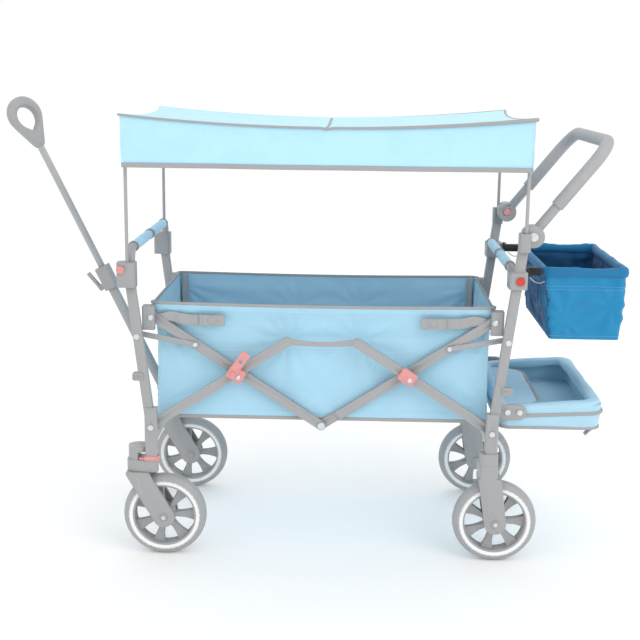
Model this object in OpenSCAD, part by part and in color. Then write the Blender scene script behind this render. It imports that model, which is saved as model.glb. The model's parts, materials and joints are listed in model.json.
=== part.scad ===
// Folding beach cart with a cloth tub on scissor bars, a canopy on four rods, a pull handle,
// a push handle, a rear basket and a rear foot well. Front is -X, up is +Z, the floor is z = 0.
// x is measured from the middle of the scissor frame, then everything moves by shift_x.

/* [Frame] */
// Distance between the front and the rear lower pivots
span = 806; // [740:2:880]
// Height of the lower pivots over the floor
pivot_z = 322; // [310:1:350]
// Height of the upper scissor corners over the lower pivots
bar_rise = 262; // [240:1:280]
// Distance from the middle plane to the middle of the posts
post_y = 253; // [235:1:290]
// Width of a post along the cart
post_w = 24; // [20:1:28]
// Thickness of a post across the cart
post_t = 16; // [12:1:18]
// Lean of the posts away from the tub, in degrees
post_lean = 7; // [3:0.5:8]
// Height of the front post tops
front_post_z = 704; // [690:1:720]
// Height of the push handle hinge
rear_hinge_z = 790; // [760:1:820]

/* [Scissor bars] */
// Height of the scissor tube section
bar_h = 22; // [18:1:24]
// Thickness of the scissor tube section across the cart
bar_t = 14; // [10:1:16]
// Wall of the scissor tubes
bar_wall = 1.8; // [1.4:0.1:2.4]
// Length of a lower bar beyond its crossing
bar_tail = 141; // [120:1:160]
// Distance of the link rivet from the crossing, along the upper bar
link_rivet = 117; // [105:1:125]
// Radius of the pivot pins
pin_r = 4; // [3:0.5:5]
// Radial running clearance of the pins
run_gap = 0.05; // [0.02:0.01:0.1]

/* [Wheels] */
// Outer diameter of the tyres
wheel_d = 200; // [180:1:204]
// Width of the tyres
wheel_w = 44; // [38:1:50]
// Distance from the middle plane to the middle of a wheel
wheel_y = 236; // [226:1:240]
// Radius of the rim under the tyre
rim_r = 74; // [68:1:76]
// Radius of the axle bolts
axle_r = 6; // [5:0.5:7]
// Number of spokes in a rim
spokes = 7; // [5:1:9]
// Distance of a front axle behind its swivel axis
trail = 62; // [55:1:66]
// Distance of the swivel axis in front of the front legs
swivel_reach = 34; // [32:1:40]
// Distance of the rear axles behind the rear legs
rear_axle_back = 16; // [8:1:24]

/* [Pull handle] */
// Lean of the pull handle from upright, in degrees
pull_lean = 25.8; // [20:0.2:30]
// Outer radius of the lower tube of the pull handle
pull_r = 12.5; // [11:0.5:14]
// Length of the lower tube of the pull handle
pull_len = 293; // [285:1:310]
// Radius of the sliding tube
slide_r = 8.5; // [7:0.5:9]
// Distance from the pull pivot to the middle of the grip loop
grip_reach = 757; // [740:1:780]
// Turn of the grip round its tube, in degrees
grip_turn = 50; // [0:5:60]

/* [Push handle] */
// Lean of the push handle from upright, in degrees
push_lean = 38.5; // [30:0.5:45]
// Length of the push handle arms up to the middle of the crossbar
push_len = 272; // [240:1:300]
// Radius of the push handle tube
push_r = 11.5; // [10:0.5:13]
// Distance from the middle plane to the push handle arms
push_y = 231; // [228:1:232]

/* [Cloth] */
// Half width of the tub over its side walls
tub_half_w = 206; // [190:1:206]
// Height of the tub from its bottom to its rim
tub_h = 284; // [260:1:296]
// Thickness of the cloth walls
cloth_t = 4; // [3:0.5:6]
// Length of the canopy
canopy_len = 928; // [924:2:960]
// Half width of the canopy
canopy_half_w = 290; // [285:1:310]
// Height of the canopy corners over the floor
canopy_z = 1056; // [1040:1:1080]
// Height of the hanging edge of the canopy
valance = 120; // [100:1:130]
// Sag of the canopy in the middle
canopy_sag = 24; // [10:1:30]
// Width of the basket across the cart
basket_w = 400; // [360:2:408]
// Depth of the basket
basket_h = 178; // [150:1:180]
// Length of the foot well along the cart
well_len = 258; // [200:2:262]
// Depth of the foot well
well_h = 68; // [55:1:80]

/* [Hidden] */
$fn = 48;

half = span / 2;
cross_x = half / 2;
cross_z = pivot_z + bar_rise / 2;
corner_z = pivot_z + bar_rise;
bar_len = norm([half, bar_rise]);
bar_angle = atan2(bar_rise, half);

// Layers across the cart, from the tub outwards
layer_gap = 2;
upper_y0 = tub_half_w + layer_gap;
upper_y1 = upper_y0 + bar_t;
link_t = 3;
link_y0 = upper_y1 + 1;
link_y1 = link_y0 + link_t;
lower_y0 = link_y1 + 1;
lower_y1 = lower_y0 + bar_t;
post_y0 = post_y - post_t / 2;
post_y1 = post_y + post_t / 2;
leg_t = post_t + 4;
leg_w = post_w + 6;
leg_y0 = post_y - leg_t / 2;
leg_y1 = post_y + leg_t / 2;
leg_top = pivot_z + 48;

// Wheels and forks
wheel_r = wheel_d / 2;
swivel_x = -half - swivel_reach;
front_axle_x = swivel_x + trail;
rear_axle_x = half + rear_axle_back;
arm_t = 8;
arm_gap = 2;
arm_in = wheel_y - wheel_w / 2 - arm_gap - arm_t;
arm_out = wheel_y + wheel_w / 2 + arm_gap;
crown_z0 = wheel_d + 4;
crown_h = 7;
housing_z0 = crown_z0 + crown_h + 1;
housing_z1 = housing_z0 + 28;
stem_r = 9;
housing_half_w = 26;
beam_z = pivot_z - 32;
beam_r = 12.5;

// Points of the frame as [x, z]
front_pivot = [-half, pivot_z];
rear_pivot = [half, pivot_z];
hub = [0, pivot_z];
front_cross = [-cross_x, cross_z];
rear_cross = [cross_x, cross_z];
link_reach = [29, 220];
front_link_post = [-half - link_reach[0], pivot_z + link_reach[1]];
rear_link_post = [half + link_reach[0], pivot_z + link_reach[1]];
link_dx = link_rivet * cos(bar_angle);
link_dz = link_rivet * sin(bar_angle);
front_link_bar = [-cross_x - link_dx, cross_z + link_dz];
rear_link_bar = [cross_x + link_dx, cross_z + link_dz];
link_h = 13;

// Distance of a post from its leg at a height
function lean_x(z) = (z - pivot_z) * tan(post_lean);

// Brackets at the post tops
bracket_w = 44;
bracket_h = 58;
bracket_x = -half - lean_x(front_post_z) - 2;
bracket_z0 = front_post_z - 44;
bracket_y0 = post_y - 12;
bracket_y1 = post_y + 23;
rod_r = 4;
rod_y = post_y + 15;
rod_gap = 0.06;
front_rod_x = bracket_x + 3;
button_r = 9.5;
button_gap = 0.3;
button_t = 7.7;
pocket_depth = 9;
front_button = [bracket_x - 12, front_post_z - 2];
hinge_x = half + 75;
disc_r = 25;
rear_rod_x = hinge_x - 18;
rear_rod_z0 = rear_hinge_z - 26;
rear_bracket_z = 688;
rear_bracket_x = half + lean_x(rear_bracket_z);
rear_bracket_w = 42;
rear_bracket_h = 38;
rear_button = [rear_bracket_x + 4, rear_bracket_z];

// Grab bars
grab_r = 9;
grab_wall = 2;
grab_bend = 30;
sleeve_r = 14;
sleeve_band = 12;
front_grab_x = bracket_x + 9;
front_grab_z = front_post_z + 44;
front_grab_y = post_y - 4;
rear_grab_x = rear_bracket_x - 12;
rear_grab_z = rear_bracket_z + 24;
rear_grab_y = push_y - 4;

// Pull handle
pull_x = -half - 15;
pull_z = beam_z + 68;
pull_pin_r = 5;
pull_ear_y0 = pull_r + 0.7;
pull_ear_y1 = pull_ear_y0 + 5;
pull_bore = slide_r + 2;
slide_from = pull_len - 68;
loop_r = 45;
loop_w = 26;
neck_r = 14;
neck_len = 75;
slide_to = grip_reach - neck_len + 18;
collar_w = 36;
collar_h = 60;
collar_s = pull_len - 14;
lever_reach = 23;
lever_t = 7;
lever_l = 50;
lever_rest = 14;
lever_pin_s = collar_s + 12;
lever_eye_r = 6;

// Cloth parts
tub_z0 = pivot_z + 10;
tub_rim_z = tub_z0 + tub_h;
tub_half_l = half - 3;
rim_t = 12;
mat_t = 6;
mat_gap = 6;
canopy_x = 6;
basket_x0 = hinge_x + 37;
basket_x1 = basket_x0 + 197;
basket_z = 715;
basket_taper = 17;
hem_r = 6;
well_x0 = half + 9;
well_x1 = well_x0 + well_len;
well_z1 = pivot_z + 73;
well_half_w = leg_y0 - 7;
well_hinge = [half + 37, well_z1 - 24];
well_stop = well_hinge + [28, 0];
well_plate_y0 = leg_y0 - 5;

// The cart is centred on the floor between its foremost and its rearmost point
grip_front = loop_r * norm([cos(grip_turn) * cos(pull_lean), sin(pull_lean)])
    + loop_w / 2 * sin(grip_turn) * cos(pull_lean);
front_end = pull_x - grip_reach * sin(pull_lean) - grip_front;
rear_end = basket_x1 + hem_r;
shift_x = -(front_end + rear_end) / 2;

module place() translate([shift_x, 0, 0]) children();

// Draws its children, made on the +Y side, on one side: -1 is left, 1 is right
module on_side(side) place() mirror([0, side < 0 ? 1 : 0, 0]) children();

module both_sides() {
    on_side(-1) children();
    on_side(1) children();
}

// A stadium from the origin along +x
module bar_outline(length, height) {
    translate([0, -height / 2]) square([length, height]);
    circle(height / 2);
    translate([length, 0]) circle(height / 2);
}

// Places a shape drawn in x and z, thickened from y0 to y1
module slab_y(y0, y1) translate([0, y1, 0]) rotate([90, 0, 0]) linear_extrude(y1 - y0) children();

// A bar with round ends between the points p and q
module flat_bar(p, q, height, y0, y1) {
    slab_y(y0, y1) translate(p) rotate(atan2(q[1] - p[1], q[0] - p[0]))
        bar_outline(norm(q - p), height);
}

module pin_y(p, r, y0, y1) translate([p[0], y1, p[1]]) rotate([90, 0, 0]) cylinder(r = r, h = y1 - y0);

module bore_y(p, r, y0, y1) pin_y(p, r, y0 - 1, y1 + 1);

// A rectangle with round corners, centred
module round_rect(w, d, r) {
    square([w - 2 * r, d], center = true);
    square([w, d - 2 * r], center = true);
    for (sx = [-1, 1], sy = [-1, 1])
        translate([sx * (w / 2 - r), sy * (d / 2 - r)]) circle(r);
}

// An upright block with round corners between two heights
module block(x, y0, y1, w, z0, z1, r) {
    translate([x, (y0 + y1) / 2, z0]) linear_extrude(z1 - z0) round_rect(w, y1 - y0, r);
}

// A hollow scissor tube between p and q, with a drain hole near p
module scissor_tube(p, q, y0, y1, in_from, in_to) {
    angle = atan2(q[1] - p[1], q[0] - p[0]);
    drain_r = 2;
    difference() {
        flat_bar(p, q, bar_h, y0, y1);
        slab_y(y0 + bar_wall, y1 - bar_wall) translate(p) rotate(angle)
            translate([in_from, -bar_h / 2 + bar_wall]) square([in_to - in_from, bar_h - 2 * bar_wall]);
        translate([p[0], y0, p[1]]) rotate([0, -angle, 0]) translate([in_from + 3 * drain_r, -1, 0])
            rotate([-90, 0, 0]) cylinder(r = drain_r, h = bar_t / 2);
    }
}

// ---- Front frame ----

module leaning_post(x, direction, z0, z1) {
    translate([x + direction * lean_x(z0), post_y, z0]) rotate([0, direction * post_lean, 0])
        linear_extrude((z1 - z0) / cos(post_lean)) difference() {
            round_rect(post_w, post_t, 5);
            round_rect(post_w - 4, post_t - 4, 3);
        }
}

module front_posts() color("#2a2c2e") both_sides() leaning_post(-half, -1, leg_top - 24, front_post_z - 4);

module leg(x, z0) {
    difference() {
        block(x, leg_y0, leg_y1, leg_w, z0, leg_top, 5);
        bore_y([x, pivot_z], pin_r, leg_y0, leg_y1);
    }
}

// The cross tube between the legs; at the front it carries the ears of the pull handle
module cross_beam(x) place() translate([x, leg_y0 + 2, beam_z]) rotate([90, 0, 0]) difference() {
    cylinder(r = beam_r, h = 2 * leg_y0 + 4);
    translate([0, 0, -1]) cylinder(r = beam_r - 2.5, h = 2 * leg_y0 + 6);
}

module swivel_housing() {
    difference() {
        hull() {
            block(swivel_x, wheel_y - housing_half_w, wheel_y + housing_half_w, 52,
                housing_z0, housing_z1, 16);
            block(-half, leg_y0 - 4, leg_y1 + 2, leg_w, housing_z0, housing_z1, 6);
        }
        translate([swivel_x, wheel_y, housing_z0 - 1]) cylinder(r = stem_r + run_gap, h = 24);
    }
}

// A dome over the swivel, with a slot in which the swivel lock slides
boss_r = 24;
lock_slot_h = 18;

module swivel_boss() difference() {
    translate([swivel_x, wheel_y, housing_z1 - 2]) cylinder(r = boss_r, h = 34);
    translate([swivel_x + 1, wheel_y - boss_r - 1, housing_z1]) cube([2 * boss_r, 3 * boss_r, lock_slot_h]);
}

// Ears on the front cross tube that hold the pin of the pull handle
module pull_ear() difference() {
    flat_bar([-half, beam_z], [pull_x, pull_z], 20, pull_ear_y0, pull_ear_y1);
    bore_y([pull_x, pull_z], pull_pin_r, pull_ear_y0, pull_ear_y1);
}

module front_legs() color("#2a2c2e") {
    both_sides() {
        leg(-half, housing_z1 - 2);
        swivel_housing();
        swivel_boss();
        pull_ear();
    }
    cross_beam(-half);
}

module press_button_pocket(p, y1) pin_y(p, button_r + button_gap, y1 - pocket_depth, y1 + 1);

module front_brackets() color("#26282a") both_sides() difference() {
    block(bracket_x, bracket_y0, bracket_y1, bracket_w, bracket_z0, bracket_z0 + bracket_h, 7);
    translate([front_rod_x, rod_y, bracket_z0 + 6]) cylinder(r = rod_r + rod_gap, h = bracket_h);
    press_button_pocket(front_button, bracket_y1);
}

// A tube that goes up, across and down, drawn in the plane of y and z
module u_path(r, arm_y, height, bend, extra) {
    for (side = [-1, 1]) {
        translate([0, side * arm_y, -extra]) cylinder(r = r, h = height - bend + extra);
        translate([0, side * (arm_y - bend), height - bend]) rotate([90, 0, 90])
            mirror([side < 0 ? 1 : 0, 0, 0]) rotate_extrude(angle = 90) translate([bend, 0]) circle(r);
    }
    translate([0, arm_y - bend, height]) rotate([90, 0, 0]) cylinder(r = r, h = 2 * (arm_y - bend));
}

module u_tube(r, wall, arm_y, height, bend) difference() {
    u_path(r, arm_y, height, bend, 0);
    u_path(r - wall, arm_y, height, bend, 1);
}

// Two soft halves with a band between them, round a bar that crosses the cart
module grab_sleeve(inner_r, outer_r, half_l) {
    for (side = [-1, 1])
        translate([0, side * (half_l + sleeve_band) / 2, 0]) rotate([90, 0, 0]) difference() {
            cylinder(r = outer_r, h = half_l - sleeve_band, center = true);
            cylinder(r = inner_r, h = half_l, center = true);
        }
}

front_grab_z0 = bracket_z0 + bracket_h - 8;

module front_grab_bar() color("#2a2c2e") place() translate([front_grab_x, 0, front_grab_z0])
    u_tube(grab_r, grab_wall, front_grab_y, front_grab_z - front_grab_z0, grab_bend);

module front_grab_sleeve() color("#3aa6d6") place() translate([front_grab_x, 0, front_grab_z])
    grab_sleeve(grab_r, sleeve_r, front_grab_y - grab_bend - 6);

rivet_head_r = 7;
rivet_head_t = 2.5;

module front_rivets() color("#c8cacc") both_sides() {
    pin_y(front_pivot, pin_r, lower_y0 - rivet_head_t, leg_y1);
    pin_y(front_pivot, rivet_head_r, leg_y1, leg_y1 + rivet_head_t);
    pin_y(front_link_post, pin_r, link_y0, post_y0 + 4);
    pin_y(front_link_post, rivet_head_r, link_y0 - 0.8, link_y0);
    pin_y(front_link_post, rivet_head_r, post_y1, post_y1 + rivet_head_t);
    pin_y([pull_x, pull_z], pull_pin_r, -1, pull_ear_y1);
    pin_y([pull_x, pull_z], pull_pin_r + 3, pull_ear_y1, pull_ear_y1 + rivet_head_t);
}

module press_button(p, y1) color("#c83434") {
    difference() {
        pin_y(p, button_r, y1 + 3 - button_t, y1 + 3);
        pin_y(p, button_r - 3, y1 + 2.2, y1 + 4);
    }
}

module front_button_left() on_side(-1) press_button(front_button, bracket_y1);
module front_button_right() on_side(1) press_button(front_button, bracket_y1);

// A red collar round the foot of a front leg that lifts to free the swivel
module swivel_lock() color("#c83434") difference() {
    union() {
        block(-half, leg_y0 - 3, leg_y1 + 3, leg_w + 6, housing_z1 + 1, housing_z1 + 11, 6);
        block(-half - leg_w / 2 - 8, post_y - 8, post_y + 8, 16, housing_z1 + 1, housing_z1 + 6, 5);
    }
    block(-half, leg_y0 - 0.3, leg_y1 + 0.3, leg_w + 0.6, housing_z1, housing_z1 + 12, 5);
}

module swivel_lock_left() on_side(-1) swivel_lock();
module swivel_lock_right() on_side(1) swivel_lock();

// ---- Wheels ----

// One arm of a fork from the crown down to a round end at the axle
module fork_arm(crown_x, axle_x, y0, y1) {
    end_r = 26;
    difference() {
        slab_y(y0, y1) hull() {
            translate([crown_x, crown_z0 + crown_h / 2]) square([54, crown_h], center = true);
            translate([axle_x, wheel_r]) circle(end_r, $fn = 32);
        }
        bore_y([axle_x, wheel_r], axle_r, y0, y1);
    }
}

module fork(crown_x, axle_x) {
    fork_arm(crown_x, axle_x, arm_in, arm_in + arm_t);
    fork_arm(crown_x, axle_x, arm_out, arm_out + arm_t);
    block(crown_x, arm_in, arm_out + arm_t, 54, crown_z0, crown_z0 + crown_h, 4);
}

module axle(x) {
    pin_y([x, wheel_r], axle_r, arm_in - 3, arm_out + arm_t + 3);
    pin_y([x, wheel_r], axle_r + 3, arm_out + arm_t, arm_out + arm_t + 4);
    pin_y([x, wheel_r], axle_r + 3, arm_in - 4, arm_in);
}

module caster_fork() color("#2a2c2e") {
    fork(swivel_x, front_axle_x);
    translate([swivel_x, wheel_y, crown_z0 + crown_h]) cylinder(r = stem_r, h = 22);
    axle(front_axle_x);
}

module caster_fork_left() on_side(-1) caster_fork();
module caster_fork_right() on_side(1) caster_fork();

module tyre(x) color("#2e3032") translate([x, wheel_y, wheel_r]) rotate([90, 0, 0])
    rotate_extrude($fn = 96) difference() {
        translate([wheel_r - wheel_w / 2, 0]) circle(wheel_w / 2);
        translate([0, -wheel_w]) square([rim_r, 2 * wheel_w]);
    }

module spoke_window() {
    step = 360 / spokes;
    in_r = 36;
    out_r = rim_r - 9;
    intersection() {
        difference() {
            circle(out_r);
            circle(in_r);
        }
        polygon([
            [0, 0], [2 * out_r, -2 * out_r * tan(step * 0.26)], [2 * out_r, 2 * out_r * tan(step * 0.26)]
        ]);
    }
}

module rim(x) color("#d9dbdc") translate([x, wheel_y, wheel_r]) rotate([90, 0, 0]) difference() {
    union() {
        rotate_extrude($fn = 96) {
            translate([rim_r - 6, -wheel_w / 2 + 6]) square([6, wheel_w - 12]);
            translate([axle_r + run_gap, -wheel_w / 2 + 1]) square([13, wheel_w - 2]);
        }
        difference() {
            translate([0, 0, -7]) cylinder(r = rim_r - 3, h = 14, $fn = 96);
            for (i = [0 : spokes - 1])
                translate([0, 0, -8]) rotate(i * 360 / spokes) linear_extrude(16) spoke_window();
        }
    }
    cylinder(r = axle_r + run_gap, h = 2 * wheel_w, center = true);
}

module tyre_front_left() on_side(-1) tyre(front_axle_x);
module tyre_front_right() on_side(1) tyre(front_axle_x);
module tyre_rear_left() on_side(-1) tyre(rear_axle_x);
module tyre_rear_right() on_side(1) tyre(rear_axle_x);
module rim_front_left() on_side(-1) rim(front_axle_x);
module rim_front_right() on_side(1) rim(front_axle_x);
module rim_rear_left() on_side(-1) rim(rear_axle_x);
module rim_rear_right() on_side(1) rim(rear_axle_x);

// ---- Scissor bars; direction is -1 at the front and 1 at the rear ----

cross_pin_r = 5;

module lower_bars(direction) color("#34383b") both_sides() {
    pivot = [direction * half, pivot_z];
    tip = pivot + (bar_len / 2 + bar_tail) * [-direction * cos(bar_angle), sin(bar_angle)];
    cross = [direction * cross_x, cross_z];
    difference() {
        scissor_tube(pivot, tip, lower_y0, lower_y1, 14, bar_len / 2 + bar_tail - 8);
        bore_y(pivot, pin_r + run_gap, lower_y0, lower_y1);
        bore_y(cross, cross_pin_r + run_gap, lower_y0, lower_y1);
    }
}

// The ears of the front and rear bars lie side by side at the hub, as far as the bars
// cross when the cart is folded
ear_r = 2.1 * bar_h;

module upper_bars(direction) color("#34383b") both_sides() {
    corner = [direction * half, corner_z];
    cross = [direction * cross_x, cross_z];
    ear_y = (upper_y0 + upper_y1) / 2;
    cut_y0 = direction < 0 ? upper_y0 - 1 : ear_y - 0.5;
    cut_y1 = direction < 0 ? ear_y + 0.5 : upper_y1 + 1;
    difference() {
        scissor_tube(corner, hub, upper_y0, upper_y1, 14, bar_len - ear_r - 10);
        bore_y(corner, pin_r + run_gap, upper_y0, upper_y1);
        bore_y(cross, cross_pin_r, upper_y0, upper_y1);
        pin_y(hub, ear_r, cut_y0, cut_y1);
        bore_y(hub, direction < 0 ? cross_pin_r : cross_pin_r + run_gap, upper_y0, upper_y1);
    }
}

module front_lower_bars() lower_bars(-1);
module rear_lower_bars() lower_bars(1);
module front_upper_bars() upper_bars(-1);
module rear_upper_bars() upper_bars(1);

// The pin of a crossing is fast in the upper bar and turns in the lower one
module cross_pin(p) {
    pin_y(p, cross_pin_r, upper_y0, lower_y1 + 0.3);
    pin_y(p, cross_pin_r + 4, upper_y1, lower_y0 - 0.3);
    pin_y(p, cross_pin_r + 3, lower_y1 + 0.3, lower_y1 + 2.8);
}

// The hub rod runs under the tub from one side to the other
module front_pivot_pins() color("#c8cacc") {
    both_sides() {
        cross_pin(front_cross);
        pin_y(hub, cross_pin_r + 4, upper_y1 + 0.3, upper_y1 + 3);
    }
    place() pin_y(hub, cross_pin_r, -upper_y1 - 0.5, upper_y1 + 0.5);
}

module rear_pivot_pins() color("#c8cacc") both_sides() cross_pin(rear_cross);

module link(post_point, bar_point) color("#c8cacc") both_sides() difference() {
    flat_bar(post_point, bar_point, link_h, link_y0, link_y1);
    bore_y(post_point, pin_r + run_gap, link_y0, link_y1);
}

module front_links() link(front_link_post, front_link_bar);
module rear_links() link(rear_link_post, rear_link_bar);

// A block that hangs the rim of the tub on the end of an upper bar
module corner_blocks(direction) color("#26282a") both_sides() {
    x = direction * (half + 5);
    block_w = 30;
    pin_y([direction * half, corner_z], pin_r, upper_y0 + 0.5, upper_y1 + 2);
    block(x, upper_y1 + 1, upper_y1 + 19, block_w, corner_z - 30, corner_z + 26, 5);
    block(x, upper_y0 + 0.5, upper_y1 + 19, block_w, corner_z + 14, corner_z + 26, 5);
}

module front_corner_blocks() corner_blocks(-1);
module rear_corner_blocks() corner_blocks(1);

cover_w = 40;
cover_t = 12;
cover_y0 = lower_y1;
cover_y1 = lower_y1 + cover_t;

module cover(p) difference() {
    slab_y(cover_y0, cover_y1) translate(p) rotate(-bar_angle) round_rect(cover_w, cover_w * 0.8, 5);
    pin_y(p, cross_pin_r + 4, cover_y0 - 1, cover_y0 + 4);
}

// The lever that frees the scissor, on the left side only, with the pin it turns on
lever_pivot = front_cross + [-8, 4];
lock_lever_tip = front_cross + [20, 44];
lock_lever_w = 22;
lock_lever_y0 = cover_y1 + 0.4;
lock_lever_y1 = cover_y1 + 7;
lock_pin_r = 3;

module cross_lock_covers() color("#c83434") {
    both_sides() cover(front_cross);
    on_side(-1) pin_y(lever_pivot, lock_pin_r, cover_y1 - 4, lock_lever_y1 + 0.4);
    on_side(-1) pin_y(lever_pivot, lock_pin_r + 2, lock_lever_y1 + 0.4, lock_lever_y1 + 2);
}

module cross_covers() color("#c83434") both_sides() cover(rear_cross);

module cross_lock_lever() color("#c83434") on_side(-1) {
    arm = lock_lever_tip - lever_pivot;
    slab_y(lock_lever_y0, lock_lever_y1) translate(lever_pivot) rotate(atan2(arm[1], arm[0])) difference() {
        translate([norm(arm) / 2, 0]) round_rect(norm(arm) + lock_lever_w, lock_lever_w, 4);
        circle(lock_pin_r + run_gap);
        translate([norm(arm) * 0.72, 0]) square(8, center = true);
    }
}

// ---- Tub ----

module tub_cloth() color("#5db8dc") place() difference() {
    union() {
        translate([0, 0, tub_z0]) linear_extrude(tub_h) round_rect(2 * tub_half_l, 2 * tub_half_w, 12);
        translate([0, 0, tub_rim_z - rim_t]) linear_extrude(rim_t)
            round_rect(2 * tub_half_l - 36, 2 * tub_half_w + 26, 8);
    }
    translate([0, 0, tub_z0 + cloth_t]) linear_extrude(tub_h)
        round_rect(2 * (tub_half_l - cloth_t), 2 * (tub_half_w - cloth_t), 10);
}

module floor_mat() color("#4a9cc4") place() translate([0, 0, tub_z0 + cloth_t]) linear_extrude(mat_t)
    round_rect(2 * (tub_half_l - cloth_t - mat_gap), 2 * (tub_half_w - cloth_t - mat_gap), 10);

// Side straps that pull the rim to the bars, and the slack band over the middle
strap_t = 2;
strap_w = 24;
strap_y0 = lower_y0 + 2;

module tub_straps() color("#1c1e20") both_sides() {
    band_half = half - (bar_len / 2 + bar_tail) * cos(bar_angle) - bar_h;
    band_z = pivot_z + (bar_len / 2 + bar_tail) * sin(bar_angle) - 2;
    slab_y(strap_y0, strap_y0 + strap_t) difference() {
        translate([0, band_z]) square([2 * band_half, strap_w], center = true);
        translate([0, band_z + 24]) circle(24);
    }
    for (side = [-1, 1])
        slab_y(tub_half_w + 14, tub_half_w + 14 + strap_t) translate([side * (half - 95), tub_rim_z - 22])
            square([110, strap_w], center = true);
}

// ---- Rear frame ----

module rear_posts() color("#2a2c2e") both_sides() leaning_post(half, 1, leg_top - 24, rear_hinge_z - 14);

module rear_legs() color("#2a2c2e") {
    both_sides() leg(half, crown_z0 + crown_h);
    cross_beam(half);
}

module rear_brackets() color("#26282a") both_sides() {
    difference() {
        union() {
            pin_y([hinge_x, rear_hinge_z], disc_r, leg_y0 + 1, leg_y1);
            block(rear_rod_x - 2, leg_y0 + 1, bracket_y1, 26, rear_rod_z0 - 8, rear_rod_z0 + 34, 6);
        }
        translate([rear_rod_x, rod_y, rear_rod_z0]) cylinder(r = rod_r + rod_gap, h = 60);
        bore_y([hinge_x, rear_hinge_z], pin_r, leg_y0, leg_y1);
    }
    difference() {
        block(rear_bracket_x, rear_grab_y - 12, bracket_y1 - 6, rear_bracket_w,
              rear_bracket_z - rear_bracket_h / 2, rear_bracket_z + rear_bracket_h / 2, 7);
        press_button_pocket(rear_button, bracket_y1 - 6);
    }
    difference() {
        flat_bar([half + 24, well_hinge[1]], [half + 64, well_hinge[1]], 36, well_plate_y0, leg_y0);
        bore_y(well_hinge, pin_r, well_plate_y0, leg_y0);
        bore_y(well_stop, pin_r - 1, well_plate_y0, leg_y0);
    }
}

rear_grab_z0 = rear_bracket_z + rear_bracket_h / 2 - 30;
rear_grab_bend = 28;

module rear_grab_bar() color("#2a2c2e") place() translate([rear_grab_x, 0, rear_grab_z0])
    u_tube(grab_r, grab_wall, rear_grab_y, rear_grab_z - rear_grab_z0, rear_grab_bend);

module rear_grab_sleeve() color("#3aa6d6") place() translate([rear_grab_x, 0, rear_grab_z])
    grab_sleeve(grab_r, sleeve_r, rear_grab_y - rear_grab_bend - 6);

module rear_forks() color("#2a2c2e") both_sides() {
    socket_z0 = crown_z0 + crown_h;
    fork(half, rear_axle_x);
    difference() {
        union() {
            block(half - 4, arm_in, arm_out + arm_t, 44, socket_z0, socket_z0 + 34, 8);
            block(half - 4, leg_y0 - 6, leg_y1 + 4, 42, socket_z0 + 30, socket_z0 + 62, 8);
        }
        block(half, leg_y0, leg_y1, leg_w, socket_z0 - 1, leg_top, 5);
    }
    axle(rear_axle_x);
}

module rear_rivets() color("#c8cacc") both_sides() {
    pin_y(rear_pivot, pin_r, lower_y0 - rivet_head_t, leg_y1);
    pin_y(rear_pivot, rivet_head_r, leg_y1, leg_y1 + rivet_head_t);
    pin_y(rear_link_post, pin_r, link_y0, post_y0 + 4);
    pin_y(rear_link_post, rivet_head_r, link_y0 - 0.8, link_y0);
    pin_y(rear_link_post, rivet_head_r, post_y1, post_y1 + rivet_head_t);
    pin_y([hinge_x, rear_hinge_z], pin_r, leg_y0 - 12, leg_y1);
    pin_y([hinge_x, rear_hinge_z], rivet_head_r + 3, leg_y1, leg_y1 + rivet_head_t);
    pin_y(well_hinge, pin_r, well_half_w - cloth_t + 1, leg_y0);
    pin_y(well_stop, pin_r - 1, well_plate_y0, leg_y0);
    for (p = [well_hinge, well_stop]) pin_y(p, rivet_head_r, leg_y0, leg_y0 + rivet_head_t);
}

module rear_button_left() on_side(-1) press_button(rear_button, bracket_y1 - 6);
module rear_button_right() on_side(1) press_button(rear_button, bracket_y1 - 6);

// ---- Push handle ----

push_disc_y1 = leg_y0;
push_disc_y0 = push_disc_y1 - 22;
push_bend = 60;
foam_t = 3.5;
foam_from = 86;

module push_frame() place() translate([hinge_x, 0, rear_hinge_z]) rotate([0, push_lean, 0]) children();

module push_handle_tube() color("#2a2c2e") {
    difference() {
        push_frame() translate([0, 0, disc_r - 4])
            u_tube(push_r, 2, push_y, push_len - disc_r + 4, push_bend);
        both_sides() pin_y([hinge_x, rear_hinge_z], disc_r - 1, push_disc_y0, push_disc_y1);
    }
    both_sides() difference() {
        pin_y([hinge_x, rear_hinge_z], disc_r, push_disc_y0, push_disc_y1);
        bore_y([hinge_x, rear_hinge_z], pin_r + run_gap, push_disc_y0 + 8, push_disc_y1);
        pin_y([hinge_x, rear_hinge_z], button_r + button_gap, push_disc_y0 - 1, push_disc_y0 + pocket_depth);
    }
}

// Foam from the middle of one arm round to the middle of the other
module push_handle_grip() color("#1f2123") push_frame() translate([0, 0, foam_from])
    u_tube(push_r + foam_t, foam_t, push_y, push_len - foam_from, push_bend);

module push_button() color("#c83434")
    pin_y([hinge_x, rear_hinge_z], button_r, push_disc_y0 - 3, push_disc_y0 - 3 + 6);

module push_button_left() on_side(-1) push_button();
module push_button_right() on_side(1) push_button();

// ---- Basket and foot well ----

module basket_outline(inset) polygon([
    [basket_x0 + inset, basket_z + (inset > 0 ? 10 : 0)],
    [basket_x0 + basket_taper + inset, basket_z - basket_h + inset],
    [basket_x1 - 6 - inset, basket_z - basket_h + inset],
    [basket_x1 - inset, basket_z + (inset > 0 ? 10 : 0)]
]);

module basket_bag() color("#309ed1") place() difference() {
    union() {
        slab_y(-basket_w / 2, basket_w / 2) basket_outline(0);
        translate([(basket_x0 + basket_x1) / 2, 0, basket_z - 2 * hem_r]) linear_extrude(2 * hem_r)
            round_rect(basket_x1 - basket_x0 + 2 * hem_r, basket_w + 2 * hem_r, 10);
    }
    slab_y(-basket_w / 2 + cloth_t, basket_w / 2 - cloth_t) basket_outline(cloth_t);
}

// Arms that hook the basket on the rear brackets, and the wire frame in its rim
arm_y = basket_w / 2 - 12;

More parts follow.
